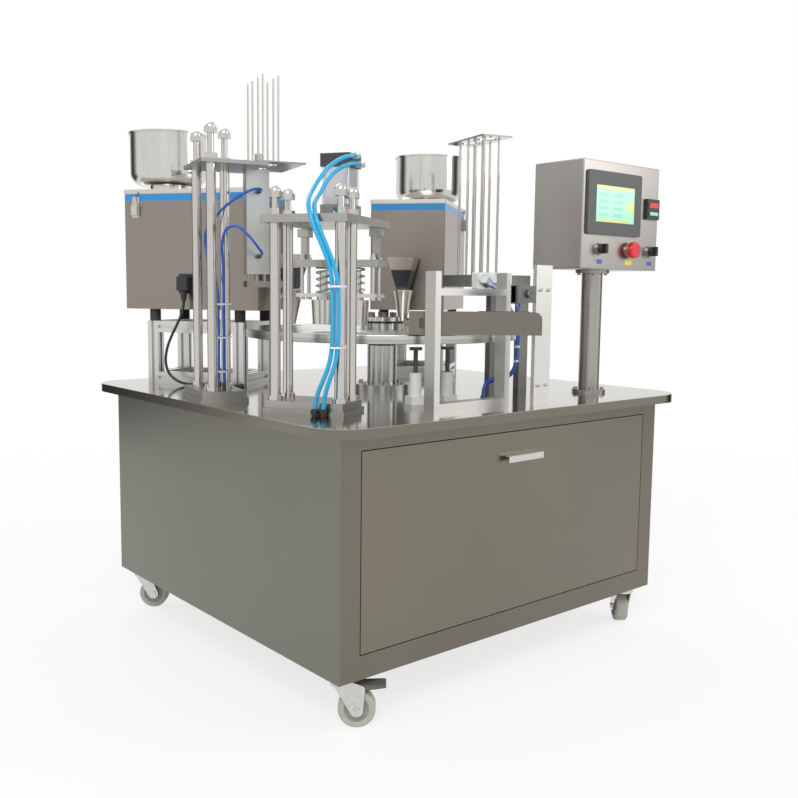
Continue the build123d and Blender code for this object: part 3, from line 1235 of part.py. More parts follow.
CHUTE_UNDER = DISC_TOP + CHUTE_LIFT
with BuildPart() as output_chute:
    chute = planted(CHUTE_X, CHUTE_Y, CHUTE_BEARING, CHUTE_UNDER)
    block_rear = OUT_FRAME_FRONT + OUT_FRAME_DEPTH
    bar(
        level(CHUTE_UNDER + CHUTE_BLOCK_LIFT),
        CHUTE_BLOCK,
        CHUTE_WIDTH,
        CHUTE_BLOCK_HEIGHT,
        (OUT_FRAME_LEFT + OUT_POST / 2, block_rear + CHUTE_WIDTH / 2),
    )
    bar(chute, CHUTE_LENGTH, 2 * CHUTE_WIDTH, CHUTE_HEIGHT, (0, CHUTE_WIDTH), Mode.SUBTRACT)
    bar(chute, CHUTE_FLOOR, CHUTE_WIDTH, CHUTE_SHEET, (CHUTE_FLOOR / 2, CHUTE_WIDTH / 2))
    with BuildSketch(upright(CHUTE_X, CHUTE_Y, CHUTE_BEARING)):
        with BuildLine():
            top = CHUTE_UNDER + CHUTE_HEIGHT
            Polyline(
                (CHUTE_LENGTH - CHUTE_CORNER, top),
                (0, top),
                (0, CHUTE_UNDER),
                (CHUTE_LENGTH, CHUTE_UNDER),
                (CHUTE_LENGTH, top - CHUTE_CORNER),
            )
            RadiusArc((CHUTE_LENGTH, top - CHUTE_CORNER), (CHUTE_LENGTH - CHUTE_CORNER, top), -CHUTE_CORNER)
        make_face()
    extrude(amount=-CHUTE_SHEET)
    far_length = CHUTE_FLOOR - CHUTE_OPEN
    bar(
        chute,
        far_length,
        CHUTE_SHEET,
        CHUTE_HEIGHT,
        (CHUTE_OPEN + far_length / 2, CHUTE_WIDTH - CHUTE_SHEET / 2),
    )
save("output_chute", output_chute)

LIFTER_TOP = TABLE_TOP + LIFTER_BASE_HEIGHT + LIFTER_HEIGHT
LIFTERS = [(LANE_REACH, lane) for lane in LANES]


def at_output(height):
    return station(OUTPUT_BEARING, height)


with BuildPart() as eject_cylinders:
    for lifter in LIFTERS:
        bar(at_output(TABLE_TOP), LIFTER_BASE, LIFTER_BASE, LIFTER_BASE_HEIGHT, lifter)
        rod(at_output(TABLE_TOP + LIFTER_BASE_HEIGHT), LIFTER_RADIUS, LIFTER_HEIGHT, lifter)
        bore_foot = LIFTER_TOP - PUSHER_ROD_DEPTH - SEAT_GAP
        bore = PUSHER_ROD_RADIUS + RUNNING_CLEARANCE
        rod(at_output(bore_foot), bore, LIFTER_TOP - bore_foot, lifter, Mode.SUBTRACT)
save("eject_cylinders", eject_cylinders)

with BuildPart() as eject_pushers:
    pad_under = DISC_BOTTOM - PUSHER_GAP - PUSHER_THICK
    for lifter in LIFTERS:
        rod_foot = LIFTER_TOP - PUSHER_ROD_DEPTH
        rod(at_output(rod_foot), PUSHER_ROD_RADIUS, pad_under - rod_foot, lifter)
        rod(at_output(pad_under), PUSHER_RADIUS, PUSHER_THICK, lifter)
save("eject_pushers", eject_pushers)

with BuildPart() as sensor_post:
    post_at = (SENSOR_POST_X, SENSOR_POST_Y)
    bar(level(TABLE_TOP), SENSOR_POST_WIDTH, SENSOR_POST_THICK, SENSOR_POST_HEIGHT, post_at)
save("sensor_post", sensor_post)

# Control post and box
POLE = (POLE_X, POLE_Y)
with BuildPart() as control_pole:
    rod(level(TABLE_TOP), POLE_RADIUS, BOX_UNDER - TABLE_TOP, POLE)
    upper = BOX_UNDER - POLE_FLANGE
    for foot, bolts in ((TABLE_TOP, TABLE_TOP + POLE_FLANGE), (upper, upper - POLE_BOLT_HEAD)):
        rod(level(foot), POLE_FLANGE_RADIUS, POLE_FLANGE, POLE)
        with BuildSketch(level(bolts)):
            with Locations(POLE):
                with PolarLocations(POLE_BOLT_CIRCLE, 4, 45):
                    Circle(POLE_BOLT_RADIUS)
        extrude(amount=POLE_BOLT_HEAD)
    rod(level(TABLE_TOP), POLE_RADIUS - POLE_WALL, BOX_UNDER - TABLE_TOP, POLE, Mode.SUBTRACT)
save("control_pole", control_pole)

BOX_LEFT = BOX_X - BOX_WIDTH / 2
BOX_TOP = BOX_UNDER + BOX_HEIGHT
BOX_FRONT = POLE_Y - BOX_DEPTH / 2
FRONT = Plane.XZ.offset(-BOX_FRONT)
SWITCH_LEVEL = BOX_UNDER + SWITCH_LIFT
SWITCH_BORE = SWITCH_STEM_RADIUS + RUNNING_CLEARANCE
with BuildPart() as control_box:
    bar(level(BOX_UNDER), BOX_WIDTH, BOX_DEPTH, BOX_HEIGHT, (BOX_X, POLE_Y))
    fillet(control_box.edges(), BOX_EDGE)
    bar(
        level(BOX_UNDER + BOX_WALL),
        BOX_WIDTH - 2 * BOX_WALL,
        BOX_DEPTH - 2 * BOX_WALL,
        BOX_HEIGHT - 2 * BOX_WALL,
        (BOX_X, POLE_Y),
        Mode.SUBTRACT,
    )
    for offset in (STOP_OFFSET, *SELECTOR_OFFSETS):
        switch_at = (BOX_LEFT + offset, SWITCH_LEVEL)
        rod(FRONT, SWITCH_RING_RADIUS, SWITCH_RING, switch_at)
        rod(FRONT.offset(SWITCH_RING), SWITCH_BORE, -SWITCH_RING - 2 * BOX_WALL, switch_at, Mode.SUBTRACT)
save("control_box", control_box)

with BuildPart() as touch_panel:
    bezel = (BOX_LEFT + BEZEL_LEFT + BEZEL_WIDTH / 2, BOX_TOP - BEZEL_TOP - BEZEL_HEIGHT / 2)
    with BuildSketch(FRONT):
        with Locations(bezel):
            RectangleRounded(BEZEL_WIDTH, BEZEL_HEIGHT, BEZEL_CORNER)
    extrude(amount=BEZEL_THICK)
    with BuildSketch(FRONT.offset(BEZEL_THICK)):
        screen_x = BOX_LEFT + BEZEL_LEFT + SCREEN_LEFT + SCREEN_WIDTH / 2
        screen_z = BOX_TOP - BEZEL_TOP - SCREEN_TOP - SCREEN_HEIGHT / 2
        with Locations((screen_x, screen_z)):
            Rectangle(SCREEN_WIDTH, SCREEN_HEIGHT)
    extrude(amount=-SCREEN_RECESS, mode=Mode.SUBTRACT)
save("touch_panel", touch_panel)

with BuildPart() as temperature_controller:
    controller = (BOX_LEFT + CONTROLLER_OFFSET, BOX_UNDER + CONTROLLER_LIFT)
    bar(FRONT, CONTROLLER_SIDE, CONTROLLER_SIDE, CONTROLLER_THICK, controller)
    window = FRONT.offset(CONTROLLER_THICK)
    bar(window, CONTROLLER_WINDOW, CONTROLLER_WINDOW / 2, -SCREEN_RECESS, controller, Mode.SUBTRACT)
save("temperature_controller", temperature_controller)

STEM_FOOT = FRONT.offset(-SWITCH_STEM_DEPTH)
with BuildPart() as stop_button:
    stop_at = (BOX_LEFT + STOP_OFFSET, SWITCH_LEVEL)
    stop_face = SWITCH_RING + STOP_TRAVEL + SEAT_GAP
    rod(STEM_FOOT, SWITCH_STEM_RADIUS, SWITCH_STEM_DEPTH + stop_face, stop_at)
    rod(FRONT.offset(stop_face), MUSHROOM_RADIUS, MUSHROOM_HEIGHT, stop_at)
    crown_edge = stop_button.edges().filter_by(GeomType.CIRCLE).sort_by(Axis.Y)[0]
    fillet(crown_edge, MUSHROOM_EDGE)
save("stop_button", stop_button)

for name, offset in zip(("selector_left", "selector_right"), SELECTOR_OFFSETS):
    with BuildPart() as selector:
        knob_at = (BOX_LEFT + offset, SWITCH_LEVEL)
        knob_foot = SWITCH_RING + SEAT_GAP
        rod(STEM_FOOT, SWITCH_STEM_RADIUS, SWITCH_STEM_DEPTH + knob_foot, knob_at)
        rod(FRONT.offset(knob_foot), KNOB_RADIUS, KNOB_HEIGHT, knob_at)
        bar(FRONT.offset(knob_foot), KNOB_GRIP, 2 * KNOB_RADIUS, KNOB_HEIGHT + KNOB_GRIP_HEIGHT, knob_at)
    save(name, selector)
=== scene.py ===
"""Looks for the rotary cup filling and sealing machine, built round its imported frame."""

import math

import bmesh
import bpy
from mathutils import Matrix, Vector


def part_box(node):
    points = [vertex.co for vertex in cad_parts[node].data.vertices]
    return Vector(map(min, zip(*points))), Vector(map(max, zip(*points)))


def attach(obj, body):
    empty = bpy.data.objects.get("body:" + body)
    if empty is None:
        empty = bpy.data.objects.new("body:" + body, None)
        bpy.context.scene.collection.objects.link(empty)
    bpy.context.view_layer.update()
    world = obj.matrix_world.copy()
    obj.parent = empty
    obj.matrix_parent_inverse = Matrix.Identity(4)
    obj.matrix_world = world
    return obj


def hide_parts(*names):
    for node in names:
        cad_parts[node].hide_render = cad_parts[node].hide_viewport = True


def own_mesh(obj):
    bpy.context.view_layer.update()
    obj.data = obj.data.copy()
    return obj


bl_info = {
    "name": "Rotary cup machine looks",
    "version": (1, 0, 0),
    "blender": (4, 5, 0),
    "location": "3D View > Sidebar > Cup machine",
    "description": "Finishes, hoses and small fittings for a rotary cup filling and sealing machine",
    "category": "Object",
}

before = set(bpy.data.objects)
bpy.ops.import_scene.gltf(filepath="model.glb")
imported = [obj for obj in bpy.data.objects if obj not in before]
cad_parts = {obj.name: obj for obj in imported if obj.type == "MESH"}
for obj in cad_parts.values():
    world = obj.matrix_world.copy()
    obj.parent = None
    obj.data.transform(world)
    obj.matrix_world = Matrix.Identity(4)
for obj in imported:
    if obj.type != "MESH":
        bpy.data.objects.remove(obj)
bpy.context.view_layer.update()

# Levels and the disc's axis, read from the frame
DISC_LOW, DISC_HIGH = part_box("turntable_disc")
WHEEL = (DISC_LOW + DISC_HIGH) / 2
TABLE_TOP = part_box("table_top")[1].z

# Bearings from the disc's axis, in degrees; for each filler its pockets' and its own
SEAL_BEARING = 210.0
LID_BEARING = 165.0
CUP_BEARING = -15.0
FILLER_BEARINGS = ((111.5, 124.5), (38.5, 37.0))

# Measures of the CAD model, in metres, and half the angle between two pockets of a pair
POCKET_REACH = 0.270
POCKET_HALF_ANGLE = 8.5
CASE_FRONT = 0.048
CASE_DEPTH = 0.376
CASE_HALF = 0.1055
POST_RADIUS = 0.011


def at(bearing, reach, across, height):
    """A point by its distance from the disc's axis along a bearing, and across it."""
    turn = math.radians(bearing)
    return Vector((
        WHEEL.x + reach * math.cos(turn) - across * math.sin(turn),
        WHEEL.y + reach * math.sin(turn) + across * math.cos(turn),
        height,
    ))


def at_case(filler, reach, across, height):
    """A point on a filler, by its distance from the spout's axis along the filler."""
    pocket, axis = FILLER_BEARINGS[filler]
    foot = at(pocket, POCKET_REACH, 0, height)
    turn = math.radians(axis)
    return foot + Vector((
        reach * math.cos(turn) - across * math.sin(turn),
        reach * math.sin(turn) + across * math.cos(turn),
        0,
    ))


# Settings
def colour(name, description, default):
    """A colour that a user may change."""
    return bpy.props.FloatVectorProperty(
        name=name, description=description, default=default, size=3, subtype="COLOR", min=0, max=1
    )


def size(name, description, default):
    """A length in metres that a user may change."""
    return bpy.props.FloatProperty(
        name=name, description=description, default=default, min=0, unit="LENGTH", precision=4
    )


class CUP_PG_finishes(bpy.types.PropertyGroup):
    """Colours of the machine's finishes"""

    panel_steel: colour("Side sheets", "Brushed sheet on the cabinet's sides", (0.200, 0.197, 0.165))
    door_steel: colour("Door sheet", "Brushed sheet on the front flap", (0.205, 0.188, 0.150))
    frame_steel: colour("Frame tube", "Satin square tube of the cabinet", (0.185, 0.170, 0.140))
    table_steel: colour("Table sheet", "Polished table top", (0.35, 0.335, 0.295))
    case_steel: colour("Filler sheet", "Sheet of the filler cases", (0.275, 0.245, 0.215))
    film_blue: colour("Protective film", "Blue film along the top of the filler cases", (0.03, 0.24, 0.55))
    plate: colour("Milled plate", "Milled aluminium plates", (0.38, 0.375, 0.345))
    chrome: colour("Polished rod", "Chromed posts and nuts", (0.56, 0.54, 0.505))
    disc: colour("Turntable", "Turned aluminium disc", (0.56, 0.56, 0.53))
    box_steel: colour("Control box", "Brushed sheet of the control box", (0.37, 0.35, 0.325))
    bezel: colour("Bezel", "Moulded frame of the operator panel", (0.075, 0.08, 0.078))
    hose_blue: colour("Wide hose", "Light blue air hose", (0.02, 0.37, 0.64))
    tube_blue: colour("Thin tubes", "Dark blue air tubes", (0.015, 0.10, 0.48))
    stop_red: colour("Stop button", "Red mushroom head", (0.62, 0.02, 0.025))


class CUP_PG_hoses(bpy.types.PropertyGroup):
    """Diameters of the free hoses, tubes and leads"""

    hose: size("Press hoses", "Outer diameter of the press's hoses", 0.009)
    tube: size("Lid tubes", "Outer diameter of the lid station's air tubes", 0.006)
    thin: size("Release tubes", "Outer diameter of the cup release's air tubes", 0.006)
    lead: size("Mains lead", "Outer diameter of the filler's mains lead", 0.007)
    tie: size("Cable tie", "Width of a cable tie", 0.004)


class CUP_PG_stage(bpy.types.PropertyGroup):
    """Camera and stage"""

    lens: bpy.props.FloatProperty(
        name="Lens", description="Focal length on a 36 mm sensor", default=41.77, min=1
    )
    yaw: bpy.props.FloatProperty(
        name="Yaw", description="Turn clockwise from +Y, in degrees", default=39.996
    )
    pitch: bpy.props.FloatProperty(
        name="Pitch", description="Tilt below the horizon, in degrees", default=6.194
    )
    roll: bpy.props.FloatProperty(
        name="Roll", description="Turn about the line of sight, in degrees", default=0.637
    )
    ambient: bpy.props.FloatProperty(
        name="Ambient", description="Strength of the room's light", default=0.62, min=0
    )
    key: bpy.props.FloatProperty(
        name="Key", description="Power of the main soft lamp in watts", default=95.0, min=0
    )


# Shader groups that several finishes share
def new_group(name, inputs, outputs):
    """A shader group with named sockets, and the two nodes that hold them."""
    group = bpy.data.node_groups.new(name, "ShaderNodeTree")
    for label, kind, default in inputs:
        socket = group.interface.new_socket(name=label, in_out="INPUT", socket_type=kind)
        socket.default_value = default
    for label, kind in outputs:
        group.interface.new_socket(name=label, in_out="OUTPUT", socket_type=kind)
    return group, group.nodes.new("NodeGroupInput"), group.nodes.new("NodeGroupOutput")


def add(tree, kind, **values):
    """A node with its plain values set; a socket's value is given by its name in inputs."""
    inputs = values.pop("inputs", {})
    node = tree.nodes.new(kind)
    for key, value in values.items():
        setattr(node, key, value)
    for key, value in inputs.items():
        node.inputs[key].default_value = value
    return node


def grain_group():
    """Fine drawn lines: a colour that varies a little, a roughness and a height."""
    group, given, made = new_group(
        "Drawn grain",
        (
            ("Colour", "NodeSocketColor", (0.5, 0.5, 0.5, 1)),
            ("Stretch", "NodeSocketVector", (40, 40, 900)),
            ("Contrast", "NodeSocketFloat", 0.25),
            ("Roughness", "NodeSocketFloat", 0.35),
        ),
        (("Colour", "NodeSocketColor"), ("Roughness", "NodeSocketFloat"), ("Height", "NodeSocketFloat")),
    )
    place = add(group, "ShaderNodeTexCoord")
    scaled = add(group, "ShaderNodeVectorMath", operation="MULTIPLY")
    fine = add(group, "ShaderNodeTexNoise", inputs={"Scale": 1.0, "Detail": 3.0, "Roughness": 0.65})
    broad = add(group, "ShaderNodeTexNoise", inputs={"Scale": 3.2, "Detail": 2.0})
    both = add(group, "ShaderNodeMath", operation="ADD")
    level = add(group, "ShaderNodeMath", operation="SUBTRACT", inputs={1: 1.0})
    share = add(group, "ShaderNodeMath", operation="MULTIPLY")
    lift = add(group, "ShaderNodeMath", operation="ADD", inputs={1: 1.0})
    tint = add(group, "ShaderNodeVectorMath", operation="SCALE")
    rough = add(group, "ShaderNodeMath", operation="MULTIPLY", use_clamp=True)
    link = group.links.new
    link(place.outputs["Object"], scaled.inputs[0])
    link(given.outputs["Stretch"], scaled.inputs[1])
    link(scaled.outputs[0], fine.inputs["Vector"])
    link(place.outputs["Object"], broad.inputs["Vector"])
    link(fine.outputs["Fac"], both.inputs[0])
    link(broad.outputs["Fac"], both.inputs[1])
    link(both.outputs[0], level.inputs[0])
    link(level.outputs[0], share.inputs[0])
    link(given.outputs["Contrast"], share.inputs[1])
    link(share.outputs[0], lift.inputs[0])
    link(given.outputs["Colour"], tint.inputs[0])
    link(lift.outputs[0], tint.inputs["Scale"])
    link(lift.outputs[0], rough.inputs[0])
    link(given.outputs["Roughness"], rough.inputs[1])
    link(tint.outputs[0], made.inputs["Colour"])
    link(rough.outputs[0], made.inputs["Roughness"])
    link(fine.outputs["Fac"], made.inputs["Height"])
    return group


def step_group():
    """1 between two levels along an axis that a vector gives, 0 elsewhere."""
    group, given, made = new_group(
        "Level mask",
        (
            ("Axis", "NodeSocketVector", (0, 0, 1)),
            ("From", "NodeSocketFloat", 0.0),
            ("To", "NodeSocketFloat", 1.0),
        ),
        (("Mask", "NodeSocketFloat"),),
    )
    place = add(group, "ShaderNodeTexCoord")
    along = add(group, "ShaderNodeVectorMath", operation="DOT_PRODUCT")
    above = add(group, "ShaderNodeMath", operation="GREATER_THAN")
    below = add(group, "ShaderNodeMath", operation="LESS_THAN")
    inside = add(group, "ShaderNodeMath", operation="MULTIPLY")
    link = group.links.new
    link(place.outputs["Object"], along.inputs[0])
    link(given.outputs["Axis"], along.inputs[1])
    link(along.outputs["Value"], above.inputs[0])
    link(given.outputs["From"], above.inputs[1])
    link(along.outputs["Value"], below.inputs[0])
    link(given.outputs["To"], below.inputs[1])
    link(above.outputs[0], inside.inputs[0])
    link(below.outputs[0], inside.inputs[1])
    link(inside.outputs[0], made.inputs["Mask"])
    return group


GROUPS = {}


def group_node(tree, name):
    """A node of a shared group, which is built the first time it is asked for."""
    if name not in GROUPS:
        GROUPS[name] = {"grain": grain_group, "level": step_group}[name]()
    node = tree.nodes.new("ShaderNodeGroup")
    node.node_tree = GROUPS[name]
    return node


# How finely a grain varies along x, y and z; drawn lines lie across the axis that varies most
DRAWN_LEVEL = (40, 40, 900)
DRAWN_UPRIGHT = (900, 40, 40)
EVEN = (90, 90, 90)
EVEN_WIDE = (80, 80, 80)

# Directions, and how far a band without an end runs
UP = (0, 0, 1)
FORWARD = (0, -1, 0)
SIDEWAYS = (1, 0, 0)
ENDLESS = 1.0


class Finish:
    """One material: its shader, its grain and the masks laid over the grain."""

    def __init__(
        self, name, tint, metallic=1.0, roughness=0.3, contrast=0.2, stretch=DRAWN_LEVEL, bump=0.04
    ):
        self.material = bpy.data.materials.new(name)
        self.material.use_nodes = True
        self.tree = self.material.node_tree
        self.shader = self.tree.nodes["Principled BSDF"]
        self.shader.inputs["Metallic"].default_value = metallic
        self.grain = group_node(self.tree, "grain")
        self.grain.inputs["Colour"].default_value = (*tint, 1)
        self.grain.inputs["Stretch"].default_value = stretch
        self.grain.inputs["Contrast"].default_value = contrast
        self.grain.inputs["Roughness"].default_value = roughness
        self.colour = self.grain.outputs["Colour"]
        self.link(self.colour, self.shader.inputs["Base Color"])
        self.link(self.grain.outputs["Roughness"], self.shader.inputs["Roughness"])
        raised = add(self.tree, "ShaderNodeBump", inputs={"Strength": bump, "Distance": 0.0005})
        self.link(self.grain.outputs["Height"], raised.inputs["Height"])
        self.link(raised.outputs["Normal"], self.shader.inputs["Normal"])

    def link(self, source, target):
        self.tree.links.new(source, target)

    def band(self, low, high, axis=UP):
        """A mask that is 1 between two levels along an axis."""
        node = group_node(self.tree, "level")
        node.inputs["Axis"].default_value = axis
        node.inputs["From"].default_value = low
        node.inputs["To"].default_value = high
        return node.outputs["Mask"]

    def above(self, level, axis=UP):
        """A mask that is 1 past a level along an axis."""
        return self.band(level, level + ENDLESS, axis)

    def below(self, level):
        """A mask that is 1 under a level."""
        return self.band(level - ENDLESS, level)

    def near(self, centre, reach):
        """A mask that is 1 within a distance of a point."""
        place = add(self.tree, "ShaderNodeTexCoord")
        away = add(self.tree, "ShaderNodeVectorMath", operation="DISTANCE")
        away.inputs[1].default_value = centre
        inside = add(self.tree, "ShaderNodeMath", operation="LESS_THAN", inputs={1: reach})
        self.link(place.outputs["Object"], away.inputs[0])
        self.link(away.outputs["Value"], inside.inputs[0])
        return inside.outputs[0]

    def both(self, first, second):
        """A mask that is 1 where both masks are."""
        node = add(self.tree, "ShaderNodeMath", operation="MULTIPLY")
        self.link(first, node.inputs[0])
        self.link(second, node.inputs[1])
        return node.outputs[0]

    def paint(self, mask, tint, metallic=None):
        """Lays another colour over the mask, and another metallic where one is given."""
        mix = add(self.tree, "ShaderNodeMix", data_type="RGBA")
        mix.inputs["B"].default_value = (*tint, 1)
        self.link(mask, mix.inputs["Factor"])
        self.link(self.colour, mix.inputs["A"])
        self.colour = mix.outputs["Result"]
        self.link(self.colour, self.shader.inputs["Base Color"])
        if metallic is not None:
            change = add(self.tree, "ShaderNodeMix", data_type="FLOAT")
            change.inputs["A"].default_value = self.shader.inputs["Metallic"].default_value
            change.inputs["B"].default_value = metallic
            self.link(mask, change.inputs["Factor"])
            self.link(change.outputs["Result"], self.shader.inputs["Metallic"])
        return self


def give(finish, *names):
    """Puts a finish on the CAD nodes whose names are given."""
    for name in names:
        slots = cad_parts[name].data.materials
        slots.clear()
        slots.append(finish.material)


def finishes():
    """The settings that hold the finishes' colours."""
    return bpy.context.scene.cup_finishes


# Where a piece changes colour, in metres: levels, depths into its box and radii
DOOR_FACE = 0.4905
PULL_BAR_GAP = 0.0025
TABLE_EDGE = 0.0012
WHEEL_DISC_RADIUS = 0.0262
WHEEL_CAP_RADIUS = 0.0135
DISC_FLANGE = 0.0105
HUB_GROOVE = (0.7765, 0.7815)
HUB_CAP = 0.7912
CYLINDER_HEAD = 0.0282
CYLINDER_FOOT = 0.0342
# Depth of the lid's lip on a filler case, whose light colour is a painted highlight along its lit edge
CASE_LID_HIGHLIGHT = 0.0115
CASE_FILM = 0.030
SPOUT_SLEEVE = 0.054
STOP_COLLAR = (0.4455, 0.4595)

CASTERS = (1, 2, 3, 4)


# Finishes of the CAD nodes
def finish_cabinet():
    """Side sheets, door with its pull bar, frame and table."""
    look = finishes()
    give(Finish("Side sheet", look.panel_steel, roughness=0.34, contrast=0.16), "body_panels")
    door = Finish(
        "Door sheet", look.door_steel, roughness=0.30, contrast=0.18, stretch=DRAWN_UPRIGHT
    )
    door.paint(door.above(DOOR_FACE + PULL_BAR_GAP, FORWARD), (0.62, 0.60, 0.56))
    give(door, "access_door")
    give(Finish("Frame tube", look.frame_steel, roughness=0.32), "cabinet_frame")
    top = Finish("Table sheet", look.table_steel, roughness=0.10, contrast=0.12, bump=0.015)
    top.paint(top.below(TABLE_TOP - TABLE_EDGE), (0.20, 0.185, 0.15))
    give(top, "table_top")


def wheel_finish(number):
    """A caster wheel's tread, disc and axle cap, by their distance from its middle."""
    low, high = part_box(f"caster_wheel_{number}")
    rim = Finish(
        f"Caster wheel {number}", (0.42, 0.415, 0.36),
        metallic=0.0, roughness=0.5, contrast=0.12, stretch=(60, 60, 60),
    )
    middle = (low + high) / 2
    rim.paint(rim.near(middle, WHEEL_DISC_RADIUS), (0.30, 0.295, 0.26))
    rim.paint(rim.near(middle, WHEEL_CAP_RADIUS), (0.55, 0.54, 0.50))
    return rim


def finish_casters():
    """Zinc plates and forks, wheels and pedals."""
    zinc = Finish("Zinc plate", (0.62, 0.61, 0.58), roughness=0.24, contrast=0.3, stretch=EVEN)
    give(zinc, "caster_plates", *(f"caster_fork_{number}" for number in CASTERS))
    for number in CASTERS:
        give(wheel_finish(number), f"caster_wheel_{number}")
    pedal = Finish("Pedal", (0.10, 0.10, 0.10), metallic=0.0, roughness=0.45, stretch=EVEN)
    give(pedal, "brake_pedal_1", "brake_pedal_2")


def finish_turntable():
    """Disc, hub, column and the drive under the table."""
    disc = Finish(
        "Turned disc", finishes().disc, roughness=0.26, contrast=0.10, stretch=(260, 260, 260)
    )
    disc.paint(disc.below(DISC_LOW.z + DISC_FLANGE), (0.44, 0.44, 0.42))
    give(disc, "turntable_disc")
    hub = Finish("Hub", (0.62, 0.61, 0.58), roughness=0.22, contrast=0.2, stretch=(120, 120, 120))
    hub.paint(hub.band(*HUB_GROOVE), (0.05, 0.05, 0.05))
    hub.paint(hub.above(HUB_CAP), (0.20, 0.20, 0.19))
    give(hub, "turntable_hub")
    column = Finish(
        "Column", (0.50, 0.49, 0.47), roughness=0.24, contrast=0.25, stretch=(50, 50, 600)
    )
    give(column, "index_column")
    give(Finish("Bearing ring", (0.04, 0.04, 0.045), metallic=0.3, roughness=0.3), "column_ring")
    drive = Finish("Drive paint", (0.05, 0.09, 0.16), metallic=0.0, roughness=0.4)
    give(drive, "index_gearbox", "drive_motor")


def finish_stations():
    """Plates, posts, nuts and cylinders of the sealing and the lid station."""
    look = finishes()
    plate = Finish("Milled plate", look.plate, roughness=0.30, contrast=0.2, stretch=(500, 40, 40))
    give(plate, "station_base_plates", "seal_top_plate", "lid_top_plate", "seal_crosshead", "lid_arm")
    chrome = Finish(
        "Polished rod", look.chrome, roughness=0.11, contrast=0.10, stretch=(30, 30, 300), bump=0.01
    )
    give(chrome, "station_columns", "lid_rods", "magazine_rods")
    give(Finish("Polished nut", look.chrome, roughness=0.16, stretch=EVEN_WIDE), "column_nuts")
    low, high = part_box("seal_cylinder")
    barrel = Finish("Air cylinder", (0.55, 0.56, 0.57), roughness=0.3)
    barrel.paint(barrel.above(high.z - CYLINDER_HEAD), (0.035, 0.037, 0.04), metallic=0.0)
    barrel.paint(barrel.below(low.z + CYLINDER_FOOT), (0.30, 0.30, 0.30))
    give(barrel, "seal_cylinder")
    heads = Finish("Turned steel", (0.58, 0.57, 0.54), roughness=0.24, stretch=(60, 60, 600))
    give(heads, "seal_heads")
    wire = Finish("Spring wire", (0.42, 0.41, 0.39), roughness=0.24, stretch=EVEN_WIDE)
    give(wire, "seal_springs")
    give(Finish("Guided cylinder", (0.66, 0.66, 0.65), roughness=0.3), "lid_cylinder")


def finish_magazines():
    """Cup release, its slide and cylinder, and the pushers."""
    give(
        Finish("Denester block", (0.26, 0.255, 0.24), metallic=0.75, roughness=0.36),
        "denester_block",
    )
    give(Finish("Slide", (0.55, 0.55, 0.54), roughness=0.3), "denester_slide")
    white = Finish(
        "White cylinder", (0.78, 0.78, 0.76),
        metallic=0.0, roughness=0.35, contrast=0.06, stretch=EVEN_WIDE,
    )
    give(white, "denester_cylinder", "eject_cylinders")
    pusher = Finish("Pusher", (0.06, 0.06, 0.065), metallic=0.0, roughness=0.4, stretch=EVEN_WIDE)
    give(pusher, "eject_pushers")


def finish_fillers():
    """Cases with their blue film and a painted highlight along the lid's lip, bowls, spouts, cones and
    stands.
    """
    look = finishes()
    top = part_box("filler_cases")[1].z
    case = Finish(
        "Filler sheet", look.case_steel,
        roughness=0.30, contrast=0.07, stretch=(8, 8, 500), bump=0.02,
    )
    # The lid's lip is a real part; its light colour is a painted highlight along its lit top edge
    case.paint(case.above(top - CASE_LID_HIGHLIGHT), (0.62, 0.59, 0.54))
    case.paint(case.band(top - CASE_FILM, top - CASE_LID_HIGHLIGHT), look.film_blue, metallic=0.0)
    give(case, "filler_cases")
    bowl = Finish(
        "Polished bowl", (0.60, 0.59, 0.56),
        roughness=0.13, contrast=0.22, stretch=(90, 90, 8), bump=0.02,
    )
    give(bowl, "hopper_bowls")
    spout = Finish("Spout", (0.56, 0.50, 0.43), roughness=0.26)
    spout.paint(spout.below(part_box("filler_spouts")[0].z + SPOUT_SLEEVE), (0.07, 0.07, 0.085))
    give(spout, "filler_spouts")
    give(Finish("Cone", (0.60, 0.58, 0.54), roughness=0.2, stretch=(70, 70, 12)), "filling_cones")
    give(Finish("Profile", (0.62, 0.61, 0.59), roughness=0.34), "filler_stands")
    foot = Finish("Foot rubber", (0.03, 0.03, 0.03), metallic=0.0, roughness=0.6, stretch=EVEN)
    give(foot, "filler_feet")


def finish_outlet():
    """Outlet frame, chute, control box and what is on it."""
    look = finishes()
    give(Finish("Outlet frame", (0.68, 0.67, 0.64), roughness=0.34), "output_frame", "sensor_post")
    chute = Finish("Chute sheet", (0.20, 0.185, 0.155), roughness=0.30, stretch=(700, 40, 40))
    give(chute, "output_chute")
    box = Finish(
        "Control box", look.box_steel, roughness=0.30, contrast=0.14, stretch=(40, 40, 800)
    )
    give(box, "control_box", "control_pole")
    bezel = Finish(
        "Bezel", look.bezel, metallic=0.0, roughness=0.42, contrast=0.06, stretch=EVEN
    )
    give(bezel, "touch_panel")
    black = Finish(
        "Black plastic", (0.018, 0.02, 0.022), metallic=0.0, roughness=0.3, stretch=EVEN
    )
    give(black, "temperature_controller", "selector_left", "selector_right")
    red = Finish(
        "Stop red", look.stop_red, metallic=0.0, roughness=0.24, contrast=0.06, stretch=EVEN
    )
    red.paint(red.band(*STOP_COLLAR, FORWARD), (0.02, 0.02, 0.02))
    give(red, "stop_button")


# Pieces made here
def put(name, data):
    """An object of the data, in the scene's collection."""
    made = bpy.data.objects.new(name, data)
    bpy.context.scene.collection.objects.link(made)
    return made


def mesh_from(name, build):
    """A mesh from a function that fills a bmesh."""
    mesh = bpy.data.meshes.new(name)
    shape = bmesh.new()
    build(shape)
    shape.to_mesh(mesh)
    shape.free()
    return mesh


def mesh_piece(name, build, finish, body):
    """A mesh with its faces turned outward and a finish, which rides on a body."""
    def outward(shape):
        build(shape)
        bmesh.ops.recalc_face_normals(shape, faces=shape.faces)
    mesh = mesh_from(name, outward)
    mesh.materials.append(finish.material)
    piece = put(name, mesh)
    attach(piece, body)
    return piece


